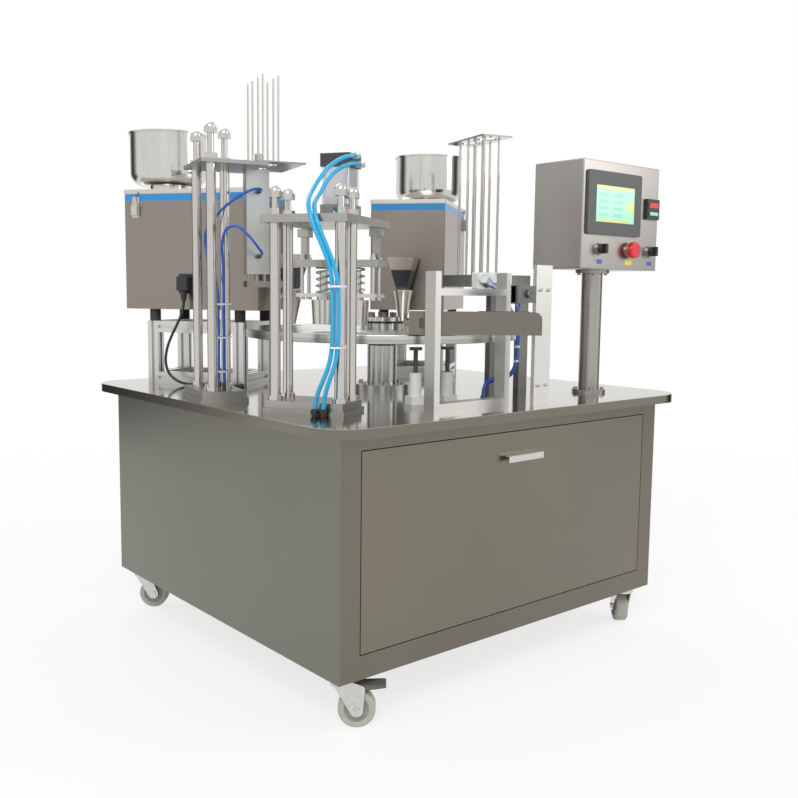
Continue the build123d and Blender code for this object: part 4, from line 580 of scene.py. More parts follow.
def soften(piece, width):
    """Rounds the edges of a small piece."""
    edge = piece.modifiers.new("Rounded edges", "BEVEL")
    edge.width = width
    edge.segments = 2
    edge.limit_method = "ANGLE"
    return piece


def block(shape, centre, sizes, turn=Matrix.Identity(3)):
    """A box in the shape, turned about its own centre."""
    made = bmesh.ops.create_cube(shape, size=1.0)
    place = Matrix.Translation(centre) @ turn.to_4x4() @ Matrix.Diagonal((*sizes, 1))
    bmesh.ops.transform(shape, matrix=place, verts=made["verts"])


def skin(shape, rings, capped=True):
    """Faces from each ring of points to the next, and over the two ends."""
    for lower, upper in zip(rings, rings[1:]):
        for point in range(len(lower)):
            after = (point + 1) % len(lower)
            shape.faces.new((lower[point], lower[after], upper[after], upper[point]))
    if capped:
        shape.faces.new(reversed(rings[0]))
        shape.faces.new(rings[-1])


def lathe(shape, profile, foot, axis, sides):
    """A turned piece: radius and height pairs, from a foot point along an axis."""
    axis = Vector(axis).normalized()
    side = axis.orthogonal().normalized()
    other = axis.cross(side)
    rings = []
    for radius, height in profile:
        ring = []
        for step in range(sides):
            turn = 2 * math.pi * step / sides
            out = side * math.cos(turn) + other * math.sin(turn)
            ring.append(shape.verts.new(Vector(foot) + axis * height + out * radius))
        rings.append(ring)
    skin(shape, rings)


def hose_piece(name, points, diameter, finish, body="machine"):
    """A smooth round hose that follows its route's points."""
    line = bpy.data.curves.new(name, "CURVE")
    line.dimensions = "3D"
    line.bevel_depth = diameter / 2
    line.bevel_resolution = 5
    line.resolution_u = 10
    line.use_fill_caps = True
    spline = line.splines.new("NURBS")
    spline.points.add(len(points) - 1)
    for point, place in zip(spline.points, points):
        point.co = (*place, 1)
    spline.order_u = 3
    spline.use_endpoint_u = True
    line.materials.append(finish.material)
    piece = put(name, line)
    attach(piece, body)
    return piece


def plastic(name, tint, roughness=0.35, contrast=0.05):
    """A moulded plastic or rubber."""
    return Finish(
        name, tint, metallic=0.0, roughness=roughness, contrast=contrast, stretch=EVEN, bump=0.02
    )


# Turned profiles of hose fittings: shares of a radius, and heights in metres
FITTING = (
    (1.35, -0.0005), (1.35, 0.004), (1.75, 0.0045), (1.75, 0.011),
    (1.50, 0.012), (1.50, 0.0135), (1.25, 0.0145),
)
ELBOW_STUB = ((1.00, -0.0005), (1.00, 0.003), (0.85, 0.004), (0.85, 0.019))
ELBOW_SOCKET = (
    (0.60, -0.003), (0.90, 0.000), (0.90, 0.007), (1.10, 0.008), (1.10, 0.0125), (0.85, 0.0135),
)
ELBOW_SHARE = 0.72
ELBOW_REACH = 0.014
FITTING_DEPTH = 0.013


def turned(profile, radius):
    """A profile with its shares as radii."""
    return [(radius * share, height) for share, height in profile]


def fitting(name, foot, axis, diameter, finish):
    """A push-in fitting or grommet: a threaded foot, a body and a release ring."""
    profile = turned(FITTING, diameter / 2)
    return mesh_piece(
        name, lambda shape: lathe(shape, profile, foot, axis, 24), finish, "machine"
    )


def end_fitting(name, end, inner, diameter, finish):
    """A fitting on a hose's end, turned towards the route's next point."""
    axis = inner - end
    foot = end - axis.normalized() * FITTING_DEPTH
    return fitting(name, foot, axis, diameter, finish)


def elbow(name, foot, out, onward, diameter, finish):
    """A turned elbow fitting: out of a face, then onward to the hose."""
    radius = diameter * ELBOW_SHARE
    middle = foot + out.normalized() * ELBOW_REACH

    def build(shape):
        lathe(shape, turned(ELBOW_STUB, radius), foot, out, 20)
        lathe(shape, turned(ELBOW_SOCKET, radius), middle, onward, 20)
    return mesh_piece(name, build, finish, "machine")


# A cable tie's gap to what it holds, its wall, its lock, and its points round each side
TIE_GAP = 0.0006
TIE_WALL = 0.0011
TIE_LOCK = (0.005, 0.006, 0.0055)
TIE_STEPS = 14


def tie(name, post, post_radius, hose, hose_radius, level, width, finish):
    """A cable tie drawn round a post and the hose beside it."""
    across = Vector((hose[0] - post[0], hose[1] - post[1]))
    heading = math.atan2(across.y, across.x)
    first = math.pi / 2 - math.asin((post_radius - hose_radius) / across.length)
    outer = TIE_GAP + TIE_WALL

    def ring(shape, centre, radius, turn):
        return [
            shape.verts.new((
                centre[0] + (radius + out) * math.cos(turn),
                centre[1] + (radius + out) * math.sin(turn),
                level + up,
            ))
            for out, up in ((TIE_GAP, 0), (outer, 0), (outer, width), (TIE_GAP, width))
        ]

    def build(shape):
        rings = []
        for centre, radius, start, sweep in (
            (post, post_radius, heading + first, 2 * math.pi - 2 * first),
            (hose, hose_radius, heading - first, 2 * first),
        ):
            for step in range(TIE_STEPS + 1):
                rings.append(ring(shape, centre, radius, start + sweep * step / TIE_STEPS))
        skin(shape, rings + rings[:1], capped=False)
        away = post_radius + outer
        lock = Vector((
            post[0] - away * math.cos(heading), post[1] - away * math.sin(heading), level + width / 2
        ))
        block(shape, lock, TIE_LOCK, Matrix.Rotation(heading, 3, "Z"))
    return mesh_piece(name, build, finish, "machine")


# Press hoses: name, reach and height of the elbow, length, and the route round the seal station
PRESS_HOSES = (
    ("press_hose_outer", 0.288, 1.1400, 0.65, (
        (0.300, 0.048, 1.140), (0.318, 0.046, 1.1385), (0.338, 0.030, 1.130), (0.360, 0.010, 1.110),
        (0.388, 0.002, 1.082), (0.424, 0.004, 1.056), (0.464, 0.014, 1.036), (0.491, 0.028, 1.010),
        (0.4945, 0.041, 0.978), (0.491, 0.056, 0.944), (0.484, 0.068, 0.910), (0.4785, 0.073, 0.874),
        (0.4775, 0.0735, 0.830), (0.478, 0.0745, 0.785), (0.4775, 0.073, 0.745),
        (0.4795, 0.068, 0.710), (0.485, 0.057, 0.678), (0.4885, 0.045, 0.650), (0.489, 0.040, 0.620),
    )),
    ("press_hose_inner", 0.262, 1.1250, 0.66, (
        (0.274, 0.048, 1.125), (0.296, 0.0475, 1.1245), (0.320, 0.040, 1.121), (0.344, 0.023, 1.106),
        (0.366, 0.012, 1.084), (0.396, 0.012, 1.058), (0.430, 0.016, 1.038), (0.463, 0.026, 1.026),
        (0.488, 0.040, 1.002), (0.4895, 0.052, 0.971), (0.4855, 0.066, 0.938), (0.480, 0.078, 0.905),
        (0.4755, 0.0845, 0.870), (0.4745, 0.085, 0.828), (0.475, 0.0858, 0.785), (0.475, 0.084, 0.745),
        (0.4765, 0.079, 0.710), (0.482, 0.070, 0.680), (0.4848, 0.061, 0.650), (0.485, 0.057, 0.620),
    )),
)

# At the seal station: the cylinder's side, the outer post, and the two hoses where ties hold them
HEAD_SIDE = 0.034
SEAL_POST = (0.454, 0.080)
HOSE_PAIR = (0.4764, 0.0792)
HOSE_PAIR_RADIUS = 0.0112
HOSE_TIE_LEVELS = (0.862, 0.742)


def build_press_hoses():
    """Two hoses from the sealing cylinder's head, tied to the outer post, down to the table."""
    sizes = bpy.context.scene.cup_hoses
    look = plastic("Press hose", finishes().hose_blue, 0.28)
    brass = Finish("Fitting", (0.60, 0.58, 0.52), roughness=0.25, stretch=EVEN)
    rubber = plastic("Grommet", (0.02, 0.02, 0.02))
    white = plastic("Cable tie", (0.78, 0.80, 0.82), 0.4)
    post = at(SEAL_BEARING, *SEAL_POST, 0)
    both = at(SEAL_BEARING, *HOSE_PAIR, 0)
    ties = [
        tie(
            f"hose_tie_{number}", post, POST_RADIUS, both, HOSE_PAIR_RADIUS,
            level, sizes.tie, white,
        )
        for number, level in enumerate(HOSE_TIE_LEVELS, 1)
    ]
    for name, reach, height, length, places in PRESS_HOSES:
        route = [at(SEAL_BEARING, *place) for place in places]
        hose = hose_piece(name, route, sizes.hose, look)
        foot = at(SEAL_BEARING, reach, HEAD_SIDE, height)
        out = at(SEAL_BEARING, reach, 1, height) - foot
        onward = at(SEAL_BEARING, reach + 1, HEAD_SIDE, height) - foot
        end = route[-1].copy()
        end.z = TABLE_TOP
        pieces = [
            elbow(f"{name}_elbow", foot, out, onward, sizes.hose, brass),
            fitting(f"{name}_grommet", end, (0, 0, 1), sizes.hose, rubber),
        ]
        ties = []


# Springs on the sealing heads: radii of the coil and its wire, turns, and the share of the wire
# that lies on each seat
SPRING_RADIUS = 0.016
SPRING_WIRE = 0.0019
SPRING_TURNS = 4.5
SPRING_SEAT = 0.09


def coil(shape, centre, low, high, steps=30, sides=10):
    """A wound spring whose two ends lie flat on their seats."""
    count = int(SPRING_TURNS * steps)
    rings = []
    for step in range(count + 1):
        turn = 2 * math.pi * step / steps
        share = min(max((step / count - SPRING_SEAT) / (1 - 2 * SPRING_SEAT), 0), 1)
        out = Vector((math.cos(turn), math.sin(turn), 0))
        middle = centre + out * SPRING_RADIUS
        middle.z = low + SPRING_WIRE + (high - low - 2 * SPRING_WIRE) * share
        ring = []
        for side in range(sides):
            lean = 2 * math.pi * side / sides
            ring.append(shape.verts.new(
                middle + (out * math.cos(lean) + Vector((0, 0, math.sin(lean)))) * SPRING_WIRE
            ))
        rings.append(ring)
    skin(shape, rings)


def build_springs():
    """The heads' springs, which ride on the crosshead."""
    low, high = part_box("seal_springs")
    angle = math.radians(POCKET_HALF_ANGLE)
    reach, spread = POCKET_REACH * math.cos(angle), POCKET_REACH * math.sin(angle)
    wire = Finish("Wound wire", (0.42, 0.41, 0.39), roughness=0.22, stretch=EVEN_WIDE)

    def build(shape):
        for lane in (-spread, spread):
            coil(shape, at(SEAL_BEARING, reach, lane, 0), low.z, high.z)
    springs = mesh_piece("head_springs", build, wire, "crosshead")
    springs.data.polygons.foreach_set("use_smooth", [True] * len(springs.data.polygons))
    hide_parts("seal_springs")
    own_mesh(springs)


# Air tubes: name, bearing of the station or none, length, and the route's points
TUBES = (
    ("lid_tube_upper", LID_BEARING, 0.60, (
        (0.322, 0.0268, 1.078), (0.322, 0.055, 1.080), (0.350, 0.075, 1.078), (0.380, 0.055, 1.062),
        (0.409, 0.036, 1.036), (0.427, 0.018, 1.012), (0.432, -0.008, 0.998), (0.432, -0.034, 0.986),
        (0.430, -0.048, 0.966), (0.428, -0.046, 0.940), (0.426, -0.028, 0.916), (0.424, -0.002, 0.894),
        (0.421, 0.019, 0.870), (0.419, 0.0268, 0.835), (0.4195, 0.0265, 0.795), (0.4185, 0.027, 0.755),
        (0.4195, 0.026, 0.715), (0.419, 0.027, 0.680), (0.4195, 0.0265, 0.657),
        (0.4195, 0.0265, 0.644),
    )),
    ("lid_tube_lower", LID_BEARING, 0.49, (
        (0.322, 0.0268, 0.932), (0.322, 0.053, 0.935), (0.338, 0.070, 0.948), (0.358, 0.067, 0.974),
        (0.384, 0.056, 1.000), (0.408, 0.045, 0.990), (0.415, 0.041, 0.955), (0.411, 0.038, 0.915),
        (0.4105, 0.037, 0.885), (0.410, 0.037, 0.850), (0.411, 0.036, 0.800), (0.410, 0.037, 0.750),
        (0.411, 0.036, 0.705), (0.4105, 0.0365, 0.665), (0.4105, 0.0365, 0.644),
    )),
    ("cup_tube_left", None, 0.40, (
        (0.1288, -0.2511, 0.8705), (0.1244, -0.2675, 0.869), (0.1185, -0.290, 0.862),
        (0.109, -0.316, 0.848), (0.0985, -0.348, 0.829), (0.084, -0.379, 0.806),
        (0.0725, -0.401, 0.780), (0.0665, -0.4087, 0.750), (0.0653, -0.4082, 0.715),
        (0.062, -0.406, 0.684), (0.051, -0.400, 0.668), (0.030, -0.3925, 0.662),
        (0.002, -0.3845, 0.660), (-0.013, -0.3805, 0.644), (-0.014, -0.380, 0.6195),
    )),
    ("cup_tube_right", None, 0.39, (
        (0.1655, -0.2609, 0.8705), (0.1611, -0.2773, 0.869), (0.153, -0.300, 0.860),
        (0.139, -0.325, 0.845), (0.123, -0.354, 0.826), (0.105, -0.379, 0.804),
        (0.0895, -0.396, 0.780), (0.078, -0.4027, 0.750), (0.073, -0.4042, 0.715),
        (0.070, -0.402, 0.682), (0.060, -0.395, 0.662), (0.040, -0.385, 0.654),
        (0.017, -0.3735, 0.652), (0.003, -0.367, 0.638), (0.002, -0.366, 0.6195),
    )),
)

# Where ties hold the tubes: the lid station's post and pair of tubes, and the cup release's tubes
LID_POST = (0.399, 0.012)
LID_PAIR = (0.4148, 0.0316)
LID_PAIR_RADIUS = 0.0102
LID_TIE_LEVELS = (0.820, 0.745, 0.668)
CUP_TIES = (
    ((0.0659, -0.4086), (0.0753, -0.4033), 0.730),
    ((0.0641, -0.4072), (0.0720, -0.4033), 0.697),
)


def build_air_tubes():
    """The dark blue air tubes of the lid cylinder and of the cup release."""
    sizes = bpy.context.scene.cup_hoses
    look = plastic("Air tube", finishes().tube_blue, 0.3)
    ring = plastic("Tube fitting", (0.05, 0.05, 0.055), 0.35)
    white = plastic("Tube tie", (0.78, 0.80, 0.82), 0.4)
    post, pair = at(LID_BEARING, *LID_POST, 0), at(LID_BEARING, *LID_PAIR, 0)
    ties = {
        "lid_tube_upper": [
            tie(
                f"lid_tie_{number}", post, POST_RADIUS, pair, LID_PAIR_RADIUS,
                level, sizes.tie, white,
            )
            for number, level in enumerate(LID_TIE_LEVELS, 1)
        ],
        "cup_tube_left": [
            tie(
                f"cup_tie_{number}", left, sizes.thin / 2, right, sizes.thin / 2,
                level, sizes.tie, white,
            )
            for number, (left, right, level) in enumerate(CUP_TIES, 1)
        ],
    }
    for name, bearing, length, places in TUBES:
        diameter = sizes.thin if bearing is None else sizes.tube
        route = [Vector(place) if bearing is None else at(bearing, *place) for place in places]
        tube = hose_piece(name, route, diameter, look)
        pieces = [
            end_fitting(f"{name}_start", route[0], route[1], diameter, ring),
            end_fitting(f"{name}_end", route[-1], route[-2], diameter, ring),
        ]
    build_release_caps(white)


# The cup release's end caps: turned profile, the cylinder's half depth, places on it
RELEASE_CAP = (
    (0.0118, -0.0005), (0.0128, 0.001), (0.0128, 0.008), (0.0115, 0.0095),
    (0.0085, 0.0095), (0.0080, 0.0080), (0.0030, 0.0080),
)
RELEASE_HALF = 0.01335
RELEASE_DROP = 0.0135
RELEASE_SHIFTS = (-0.028, 0.006)


def build_release_caps(finish):
    """The two round end caps on the front of the cup release's twin cylinder."""
    low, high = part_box("denester_cylinder")
    middle = (low + high) / 2
    along = Vector((math.cos(math.radians(CUP_BEARING)), math.sin(math.radians(CUP_BEARING)), 0))
    out = Vector((along.y, -along.x, 0))
    front = middle + out * RELEASE_HALF
    for number, shift in enumerate(RELEASE_SHIFTS, 1):
        foot = Vector((front.x, front.y, high.z - RELEASE_DROP)) + along * shift
        mesh_piece(
            f"release_cap_{number}", lambda shape: lathe(shape, RELEASE_CAP, foot, out, 36),
            finish, "machine",
        )


# The sensor post's clamp and bolts: levels, shifts from the post's edge, turned profiles
CLAMP_LEVEL = 0.852
EYE_LEVEL = 0.853
BOLT_SHIFTS = (0.013, 0.038)
BOLT_LEVELS = (0.862, 0.655)
EYE = ((0.0085, -0.0005), (0.0085, 0.006), (0.0065, 0.008), (0.0045, 0.008), (0.0040, 0.006))
BOLT = ((0.0048, -0.0005), (0.0048, 0.001), (0.0040, 0.0012), (0.0040, 0.004), (0.0032, 0.0048))


def build_sensor_bracket():
    """The clamp block on the sensor post, with its eye, and the post's bolts."""
    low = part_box("sensor_post")[0]
    dark = Finish("Clamp block", (0.16, 0.155, 0.15), metallic=0.7, roughness=0.36)
    steel = Finish("Bolt", (0.50, 0.49, 0.47), roughness=0.2, stretch=EVEN)

    def clamp(shape):
        block(shape, Vector((low.x - 0.032, low.y + 0.007, CLAMP_LEVEL)), (0.064, 0.014, 0.036))
        block(shape, Vector((low.x - 0.058, low.y + 0.005, CLAMP_LEVEL)), (0.012, 0.022, 0.040))
        lathe(shape, EYE, Vector((low.x - 0.026, low.y, EYE_LEVEL)), FORWARD, 24)
    soften(mesh_piece("sensor_clamp", clamp, dark, "machine"), 0.0008)

    def bolts(shape):
        for shift in BOLT_SHIFTS:
            for level in BOLT_LEVELS:
                lathe(shape, BOLT, Vector((low.x + shift, low.y, level)), FORWARD, 20)
    mesh_piece("sensor_post_bolts", bolts, steel, "machine")


# The mains lead: the plug's place on the case, and the lead's route by distance
# along the case, distance out of its side, and height
PLUG_REACH = 0.245
PLUG_LEVEL = 0.868
STRAIN_RELIEF = ((0.0085, 0), (0.0085, 0.006), (0.0060, 0.026))
LEAD_ROUTE = (
    (0.245, 0.022, 0.8250), (0.246, 0.022, 0.8100), (0.251, 0.024, 0.7900), (0.262, 0.027, 0.7640),
    (0.278, 0.029, 0.7340), (0.292, 0.028, 0.7020), (0.298, 0.026, 0.6700), (0.293, 0.024, 0.6420),
    (0.276, 0.022, 0.6230), (0.250, 0.021, 0.6120), (0.220, 0.020, 0.6108), (0.186, 0.022, 0.6108),
    (0.152, 0.025, 0.6108), (0.120, 0.023, 0.6108), (0.095, 0.018, 0.6108),
)


def build_mains_lead():
    """The first filler's plug in its side and the lead that hangs from it."""
    diameter = bpy.context.scene.cup_hoses.lead
    black = plastic("Plug black", (0.02, 0.02, 0.022), 0.45)
    centre = at_case(0, PLUG_REACH, CASE_HALF, PLUG_LEVEL)
    outward = (at_case(0, PLUG_REACH, CASE_HALF + 1, PLUG_LEVEL) - centre).normalized()
    turn = Matrix.Rotation(math.radians(FILLER_BEARINGS[0][1]), 3, "Z")

    def build(shape):
        block(shape, centre + outward * 0.0035, (0.046, 0.007, 0.050), turn)
        block(shape, centre + outward * 0.0205, (0.030, 0.027, 0.036), turn)
        neck = centre + outward * 0.022 - Vector((0, 0, 0.018))
        lathe(shape, STRAIN_RELIEF, neck, (0, 0, -1), 20)
    plug = soften(mesh_piece("mains_plug", build, black, "machine"), 0.002)
    route = [at_case(0, reach, CASE_HALF + out, height) for reach, out, height in LEAD_ROUTE]
    lead = hose_piece("mains_lead", route, diameter, black)
    gland = end_fitting("mains_gland", route[-1], route[-2], diameter, black)


# A latch's plate, lever, grip and keeper: distance out, height, and sizes
LATCH_BLOCKS = (
    (0.001, 0.0, (0.020, 0.002, 0.052)),
    (0.005, -0.004, (0.014, 0.007, 0.034)),
    (0.010, -0.008, (0.017, 0.003, 0.026)),
    (0.004, 0.0375, (0.016, 0.006, 0.009)),
)
LATCH_WIRE = ((0.0016, 0), (0.0016, 0.030))
LATCH_WIRE_OUT = 0.0085
LATCH_INSET = 0.034
LATCH_DROP = 0.046


def build_case_latches():
    """A toggle latch near the top of each filler case."""
    steel = Finish("Latch steel", (0.55, 0.54, 0.51), roughness=0.2, stretch=EVEN)
    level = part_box("filler_cases")[1].z - LATCH_DROP
    for filler, side in ((0, 1), (1, -1)):
        turn = Matrix.Rotation(math.radians(FILLER_BEARINGS[filler][1]), 3, "Z")
        foot = at_case(filler, CASE_FRONT + CASE_DEPTH - LATCH_INSET, side * CASE_HALF, level)
        outward = at_case(filler, 0, side, 0) - at_case(filler, 0, 0, 0)

        def build(shape):
            for out, up, sizes in LATCH_BLOCKS:
                block(shape, foot + outward * out + Vector((0, 0, up)), sizes, turn)
            lathe(shape, LATCH_WIRE, foot + outward * LATCH_WIRE_OUT, UP, 12)
        latch = mesh_piece(f"case_latch_{filler + 1}", build, steel, "machine")
        soften(latch, 0.0008)


# The lit page's plain areas as shares of its width and height: left, right, foot and head
SCREEN_INSET = 0.030
SCREEN_DROP = 0.033
SCREEN_WIDTH = 0.149
SCREEN_HEIGHT = 0.086
SCREEN_BARS = ((0.0, 1.0, 0.90, 1.0), (0.10, 0.92, 0.0, 0.08), (0.80, 0.98, 0.30, 0.62))
SCREEN_FIELDS = tuple(
    (left, left + 0.24, 0.16 + 0.18 * row, 0.16 + 0.18 * row + 0.09)
    for row in range(4) for left in (0.07, 0.44)
)


def light_up(look, strength):
    """Makes a finish glow in its own colour."""
    look.link(look.colour, look.shader.inputs["Emission Color"])
    look.shader.inputs["Emission Strength"].default_value = strength


def screen_finish(low, high):
    """A lit page: pale green with soft yellow bars and darker fields, and no lettering."""
    look = Finish(
        "Lit screen", (0.27, 0.56, 0.42),
        metallic=0.0, roughness=0.12, contrast=0.05, stretch=(9, 9, 9), bump=0.0,
    )
    width, height = high.x - low.x, high.z - low.z
    for areas, tint in ((SCREEN_BARS, (0.44, 0.50, 0.17)), (SCREEN_FIELDS, (0.18, 0.46, 0.34))):
        for left, right, foot, head in areas:
            look.paint(look.both(
                look.band(low.x + left * width, low.x + right * width, SIDEWAYS),
                look.band(low.z + foot * height, low.z + head * height),
            ), tint)
    light_up(look, 0.55)
    return look


def panel_plate(name, low, high, front, thick, finish):
    """A thin plate with rounded edges on the control box's front."""
    def build(shape):
        middle = Vector(((low[0] + high[0]) / 2, front - thick / 2, (low[1] + high[1]) / 2))
        block(shape, middle, (high[0] - low[0], thick, high[1] - low[1]))
    return soften(mesh_piece(name, build, finish, "machine"), thick * 0.4)


# The controller's two readings: tint, foot, height and glow; then the digits' places
READINGS = (
    ("controller_reading", (0.90, 0.03, 0.04), 0.029, 0.011, 0.8),
    ("controller_target", (0.25, 0.75, 0.55), 0.010, 0.008, 0.5),
)
DIGIT_START = 0.0135
DIGIT_STEP = 0.0085
DIGIT_WIDTH = 0.0055
FACE_INSET = 0.004
WALL_DEPTH = 0.0053
PLATE_DROP = 0.030
PLATE_HALF = 0.0055


def build_operator_panel():
    """The lit screen, the controller's display and the bare plates under the switches."""
    low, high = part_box("touch_panel")
    left, top = low.x + SCREEN_INSET, high.z - SCREEN_DROP
    corner = Vector((left, 0, top - SCREEN_HEIGHT))
    end = Vector((left + SCREEN_WIDTH, 0, top))
    glass = screen_finish(corner, end)
    front = low.y + 0.0015
    panel_plate(
        "panel_screen", (corner.x, corner.z), (end.x, end.z), front, 0.0011, glass
    )
    low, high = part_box("temperature_controller")
    face = plastic("Controller face", (0.012, 0.018, 0.016), 0.2)
    panel_plate(
        "controller_face", (low.x + FACE_INSET, low.z + FACE_INSET),
        (high.x - FACE_INSET, high.z - FACE_INSET), low.y, 0.0008, face,
    )
    for name, tint, foot, tall, strength in READINGS:
        lit = plastic(name, tint, 0.3)
        light_up(lit, strength)

        def build(shape):
            for digit in range(4):
                x = low.x + DIGIT_START + digit * DIGIT_STEP
                centre = Vector((x, low.y - 0.0010, low.z + foot + tall / 2))
                block(shape, centre, (DIGIT_WIDTH, 0.0006, tall))
        mesh_piece(name, build, lit, "machine")
    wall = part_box("control_box")[0].y + WALL_DEPTH
    blue = plastic("Blue plate", (0.05, 0.11, 0.42))
    yellow = plastic("Yellow plate", (0.80, 0.66, 0.05))
    for name, node, finish, wide in (
        ("plate_left", "selector_left", blue, 0.020),
        ("plate_middle", "stop_button", yellow, 0.027),
        ("plate_right", "selector_right", blue, 0.020),
    ):
        low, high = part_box(node)
        x, z = (low.x + high.x) / 2, (low.z + high.z) / 2 - PLATE_DROP
        panel_plate(
            name, (x - wide / 2, z - PLATE_HALF), (x + wide / 2, z + PLATE_HALF),
            wall, 0.0008, finish,
        )


# Stage, lamps and camera
WHITE = (1, 1, 1, 1)
FLOOR_RADIUS = 30.0
FLOOR_LEVEL = -0.0005
FLAG_TURNS = (("Left flag", 64), ("Right flag", -66))
FLAG_REACH = 2.9
FLAG_LEVEL = 1.35
FLAG_SIZES = (2.3, 2.4, 1)
CAMERA_PLACE = (-1.5195, -1.8439, 0.860)
CAMERA_SHIFT = (0.01265, -0.01183)
LAMPS = (
    ("Key", (-2.6, -2.4, 3.4), 1.0, 2.6),
    ("Fill", (2.8, -2.6, 2.4), 0.45, 2.4),
    ("Back", (0.5, 3.2, 3.2), 0.5, 2.6),
)
LAMP_AIM = (0, 0, 0.7)


def build_stage():
    """The room, the floor, the cloths, the lamps and the camera."""
    settings = bpy.context.scene.cup_stage
    scene = bpy.context.scene
    scene.view_settings.view_transform = "Standard"
    world = bpy.data.worlds.new("Pale room")
    scene.world = world
    world.use_nodes = True
    tree = world.node_tree
    tree.nodes.clear()
    ray = add(tree, "ShaderNodeLightPath")
    seen = add(tree, "ShaderNodeMath", operation="MAXIMUM")
    shown = add(tree, "ShaderNodeMath", operation="MAXIMUM")
    room = add(
        tree, "ShaderNodeBackground", inputs={"Color": WHITE, "Strength": settings.ambient}
    )
    white = add(tree, "ShaderNodeBackground", inputs={"Color": WHITE, "Strength": 1.0})
    mix = add(tree, "ShaderNodeMixShader")
    out = add(tree, "ShaderNodeOutputWorld")
    link = tree.links.new
    link(ray.outputs["Is Camera Ray"], seen.inputs[0])
    link(ray.outputs["Is Glossy Ray"], seen.inputs[1])
    link(seen.outputs[0], shown.inputs[0])
    link(ray.outputs["Is Transmission Ray"], shown.inputs[1])
    link(shown.outputs[0], mix.inputs["Fac"])
    link(room.outputs[0], mix.inputs[1])
    link(white.outputs[0], mix.inputs[2])
    link(mix.outputs[0], out.inputs["Surface"])
    build_floor()
    build_flags()
    build_lamps(settings)
    build_camera(settings)


def build_floor():
    """A round sheet of pale paper, which turns white to the camera away from the machine."""
    mesh = mesh_from("Floor", lambda shape: bmesh.ops.create_circle(
        shape, cap_ends=True, radius=FLOOR_RADIUS, segments=96
    ))
    floor = put("Floor", mesh)
    floor.location.z = FLOOR_LEVEL
    paper = bpy.data.materials.new("Pale floor")
    paper.use_nodes = True
    tree = paper.node_tree
    shader = tree.nodes["Principled BSDF"]
    shader.inputs["Base Color"].default_value = (0.86, 0.86, 0.855, 1)
    shader.inputs["Roughness"].default_value = 0.9
    shader.inputs["Specular IOR Level"].default_value = 0.1
    ray = add(tree, "ShaderNodeLightPath")
    seen = add(tree, "ShaderNodeMath", operation="MAXIMUM")
    glow = add(tree, "ShaderNodeEmission", inputs={"Color": WHITE, "Strength": 1.0})
    mix = add(tree, "ShaderNodeMixShader")
    share = add(tree, "ShaderNodeMath", operation="MULTIPLY")
    place = add(tree, "ShaderNodeTexCoord")
    away = add(tree, "ShaderNodeVectorMath", operation="LENGTH")
    fade = add(tree, "ShaderNodeMapRange", inputs={
        "From Min": 1.0, "From Max": 3.5, "To Min": 0.76, "To Max": 1.0,
    })
    out = tree.nodes["Material Output"]
    link = tree.links.new
    link(ray.outputs["Is Camera Ray"], seen.inputs[0])
    link(ray.outputs["Is Glossy Ray"], seen.inputs[1])
    link(seen.outputs[0], share.inputs[0])
    link(place.outputs["Object"], away.inputs[0])
    link(away.outputs["Value"], fade.inputs["Value"])
    link(fade.outputs["Result"], share.inputs[1])
    link(share.outputs[0], mix.inputs["Fac"])
    link(shader.outputs[0], mix.inputs[1])
    link(glow.outputs[0], mix.inputs[2])
    link(mix.outputs[0], out.inputs["Surface"])
    mesh.materials.append(paper)


def build_flags():
    """Two cloths, dark along their middle and seen only in reflections, that draw the posts."""
    cloth = bpy.data.materials.new("Dark cloth")
    cloth.use_nodes = True
    tree = cloth.node_tree
    tree.nodes.clear()
    place = add(tree, "ShaderNodeTexCoord")
    across = add(tree, "ShaderNodeSeparateXYZ")
    square = add(tree, "ShaderNodeMath", operation="POWER", inputs={1: 2.0})
    fade = add(tree, "ShaderNodeMapRange", inputs={
        "From Min": 0.0, "From Max": 0.24, "To Min": 0.05, "To Max": 1.0,
    })
    glow = add(tree, "ShaderNodeEmission", inputs={"Color": WHITE})
    out = add(tree, "ShaderNodeOutputMaterial")
    link = tree.links.new
    link(place.outputs["Object"], across.inputs[0])
    link(across.outputs["X"], square.inputs[0])
    link(square.outputs[0], fade.inputs["Value"])
    link(fade.outputs["Result"], glow.inputs["Strength"])
    link(glow.outputs[0], out.inputs["Surface"])
    yaw = bpy.context.scene.cup_stage.yaw
    for name, bearing in FLAG_TURNS:
        turn = math.radians(90 - yaw + bearing)
        mesh = mesh_from(name, lambda shape: bmesh.ops.create_grid(
            shape, x_segments=1, y_segments=1, size=0.5
        ))
        flag = put(name, mesh)
        flag.location = (FLAG_REACH * math.cos(turn), FLAG_REACH * math.sin(turn), FLAG_LEVEL)
        flag.rotation_euler = (math.radians(90), 0, turn + math.radians(90))
        flag.scale = FLAG_SIZES
        mesh.materials.append(cloth)
        flag.visible_camera = False
        flag.visible_diffuse = False
        flag.visible_shadow = False


def build_lamps(settings):
    """Three soft round lamps that look at the machine's middle."""
    for name, place, share, spread in LAMPS:
        data = bpy.data.lights.new(name, "AREA")
        data.energy = settings.key * share
        data.shape = "DISK"
        data.size = spread
        lamp = put(name, data)
        lamp.location = place
        lamp.rotation_euler = (Vector(LAMP_AIM) - lamp.location).to_track_quat("-Z", "Y").to_euler()


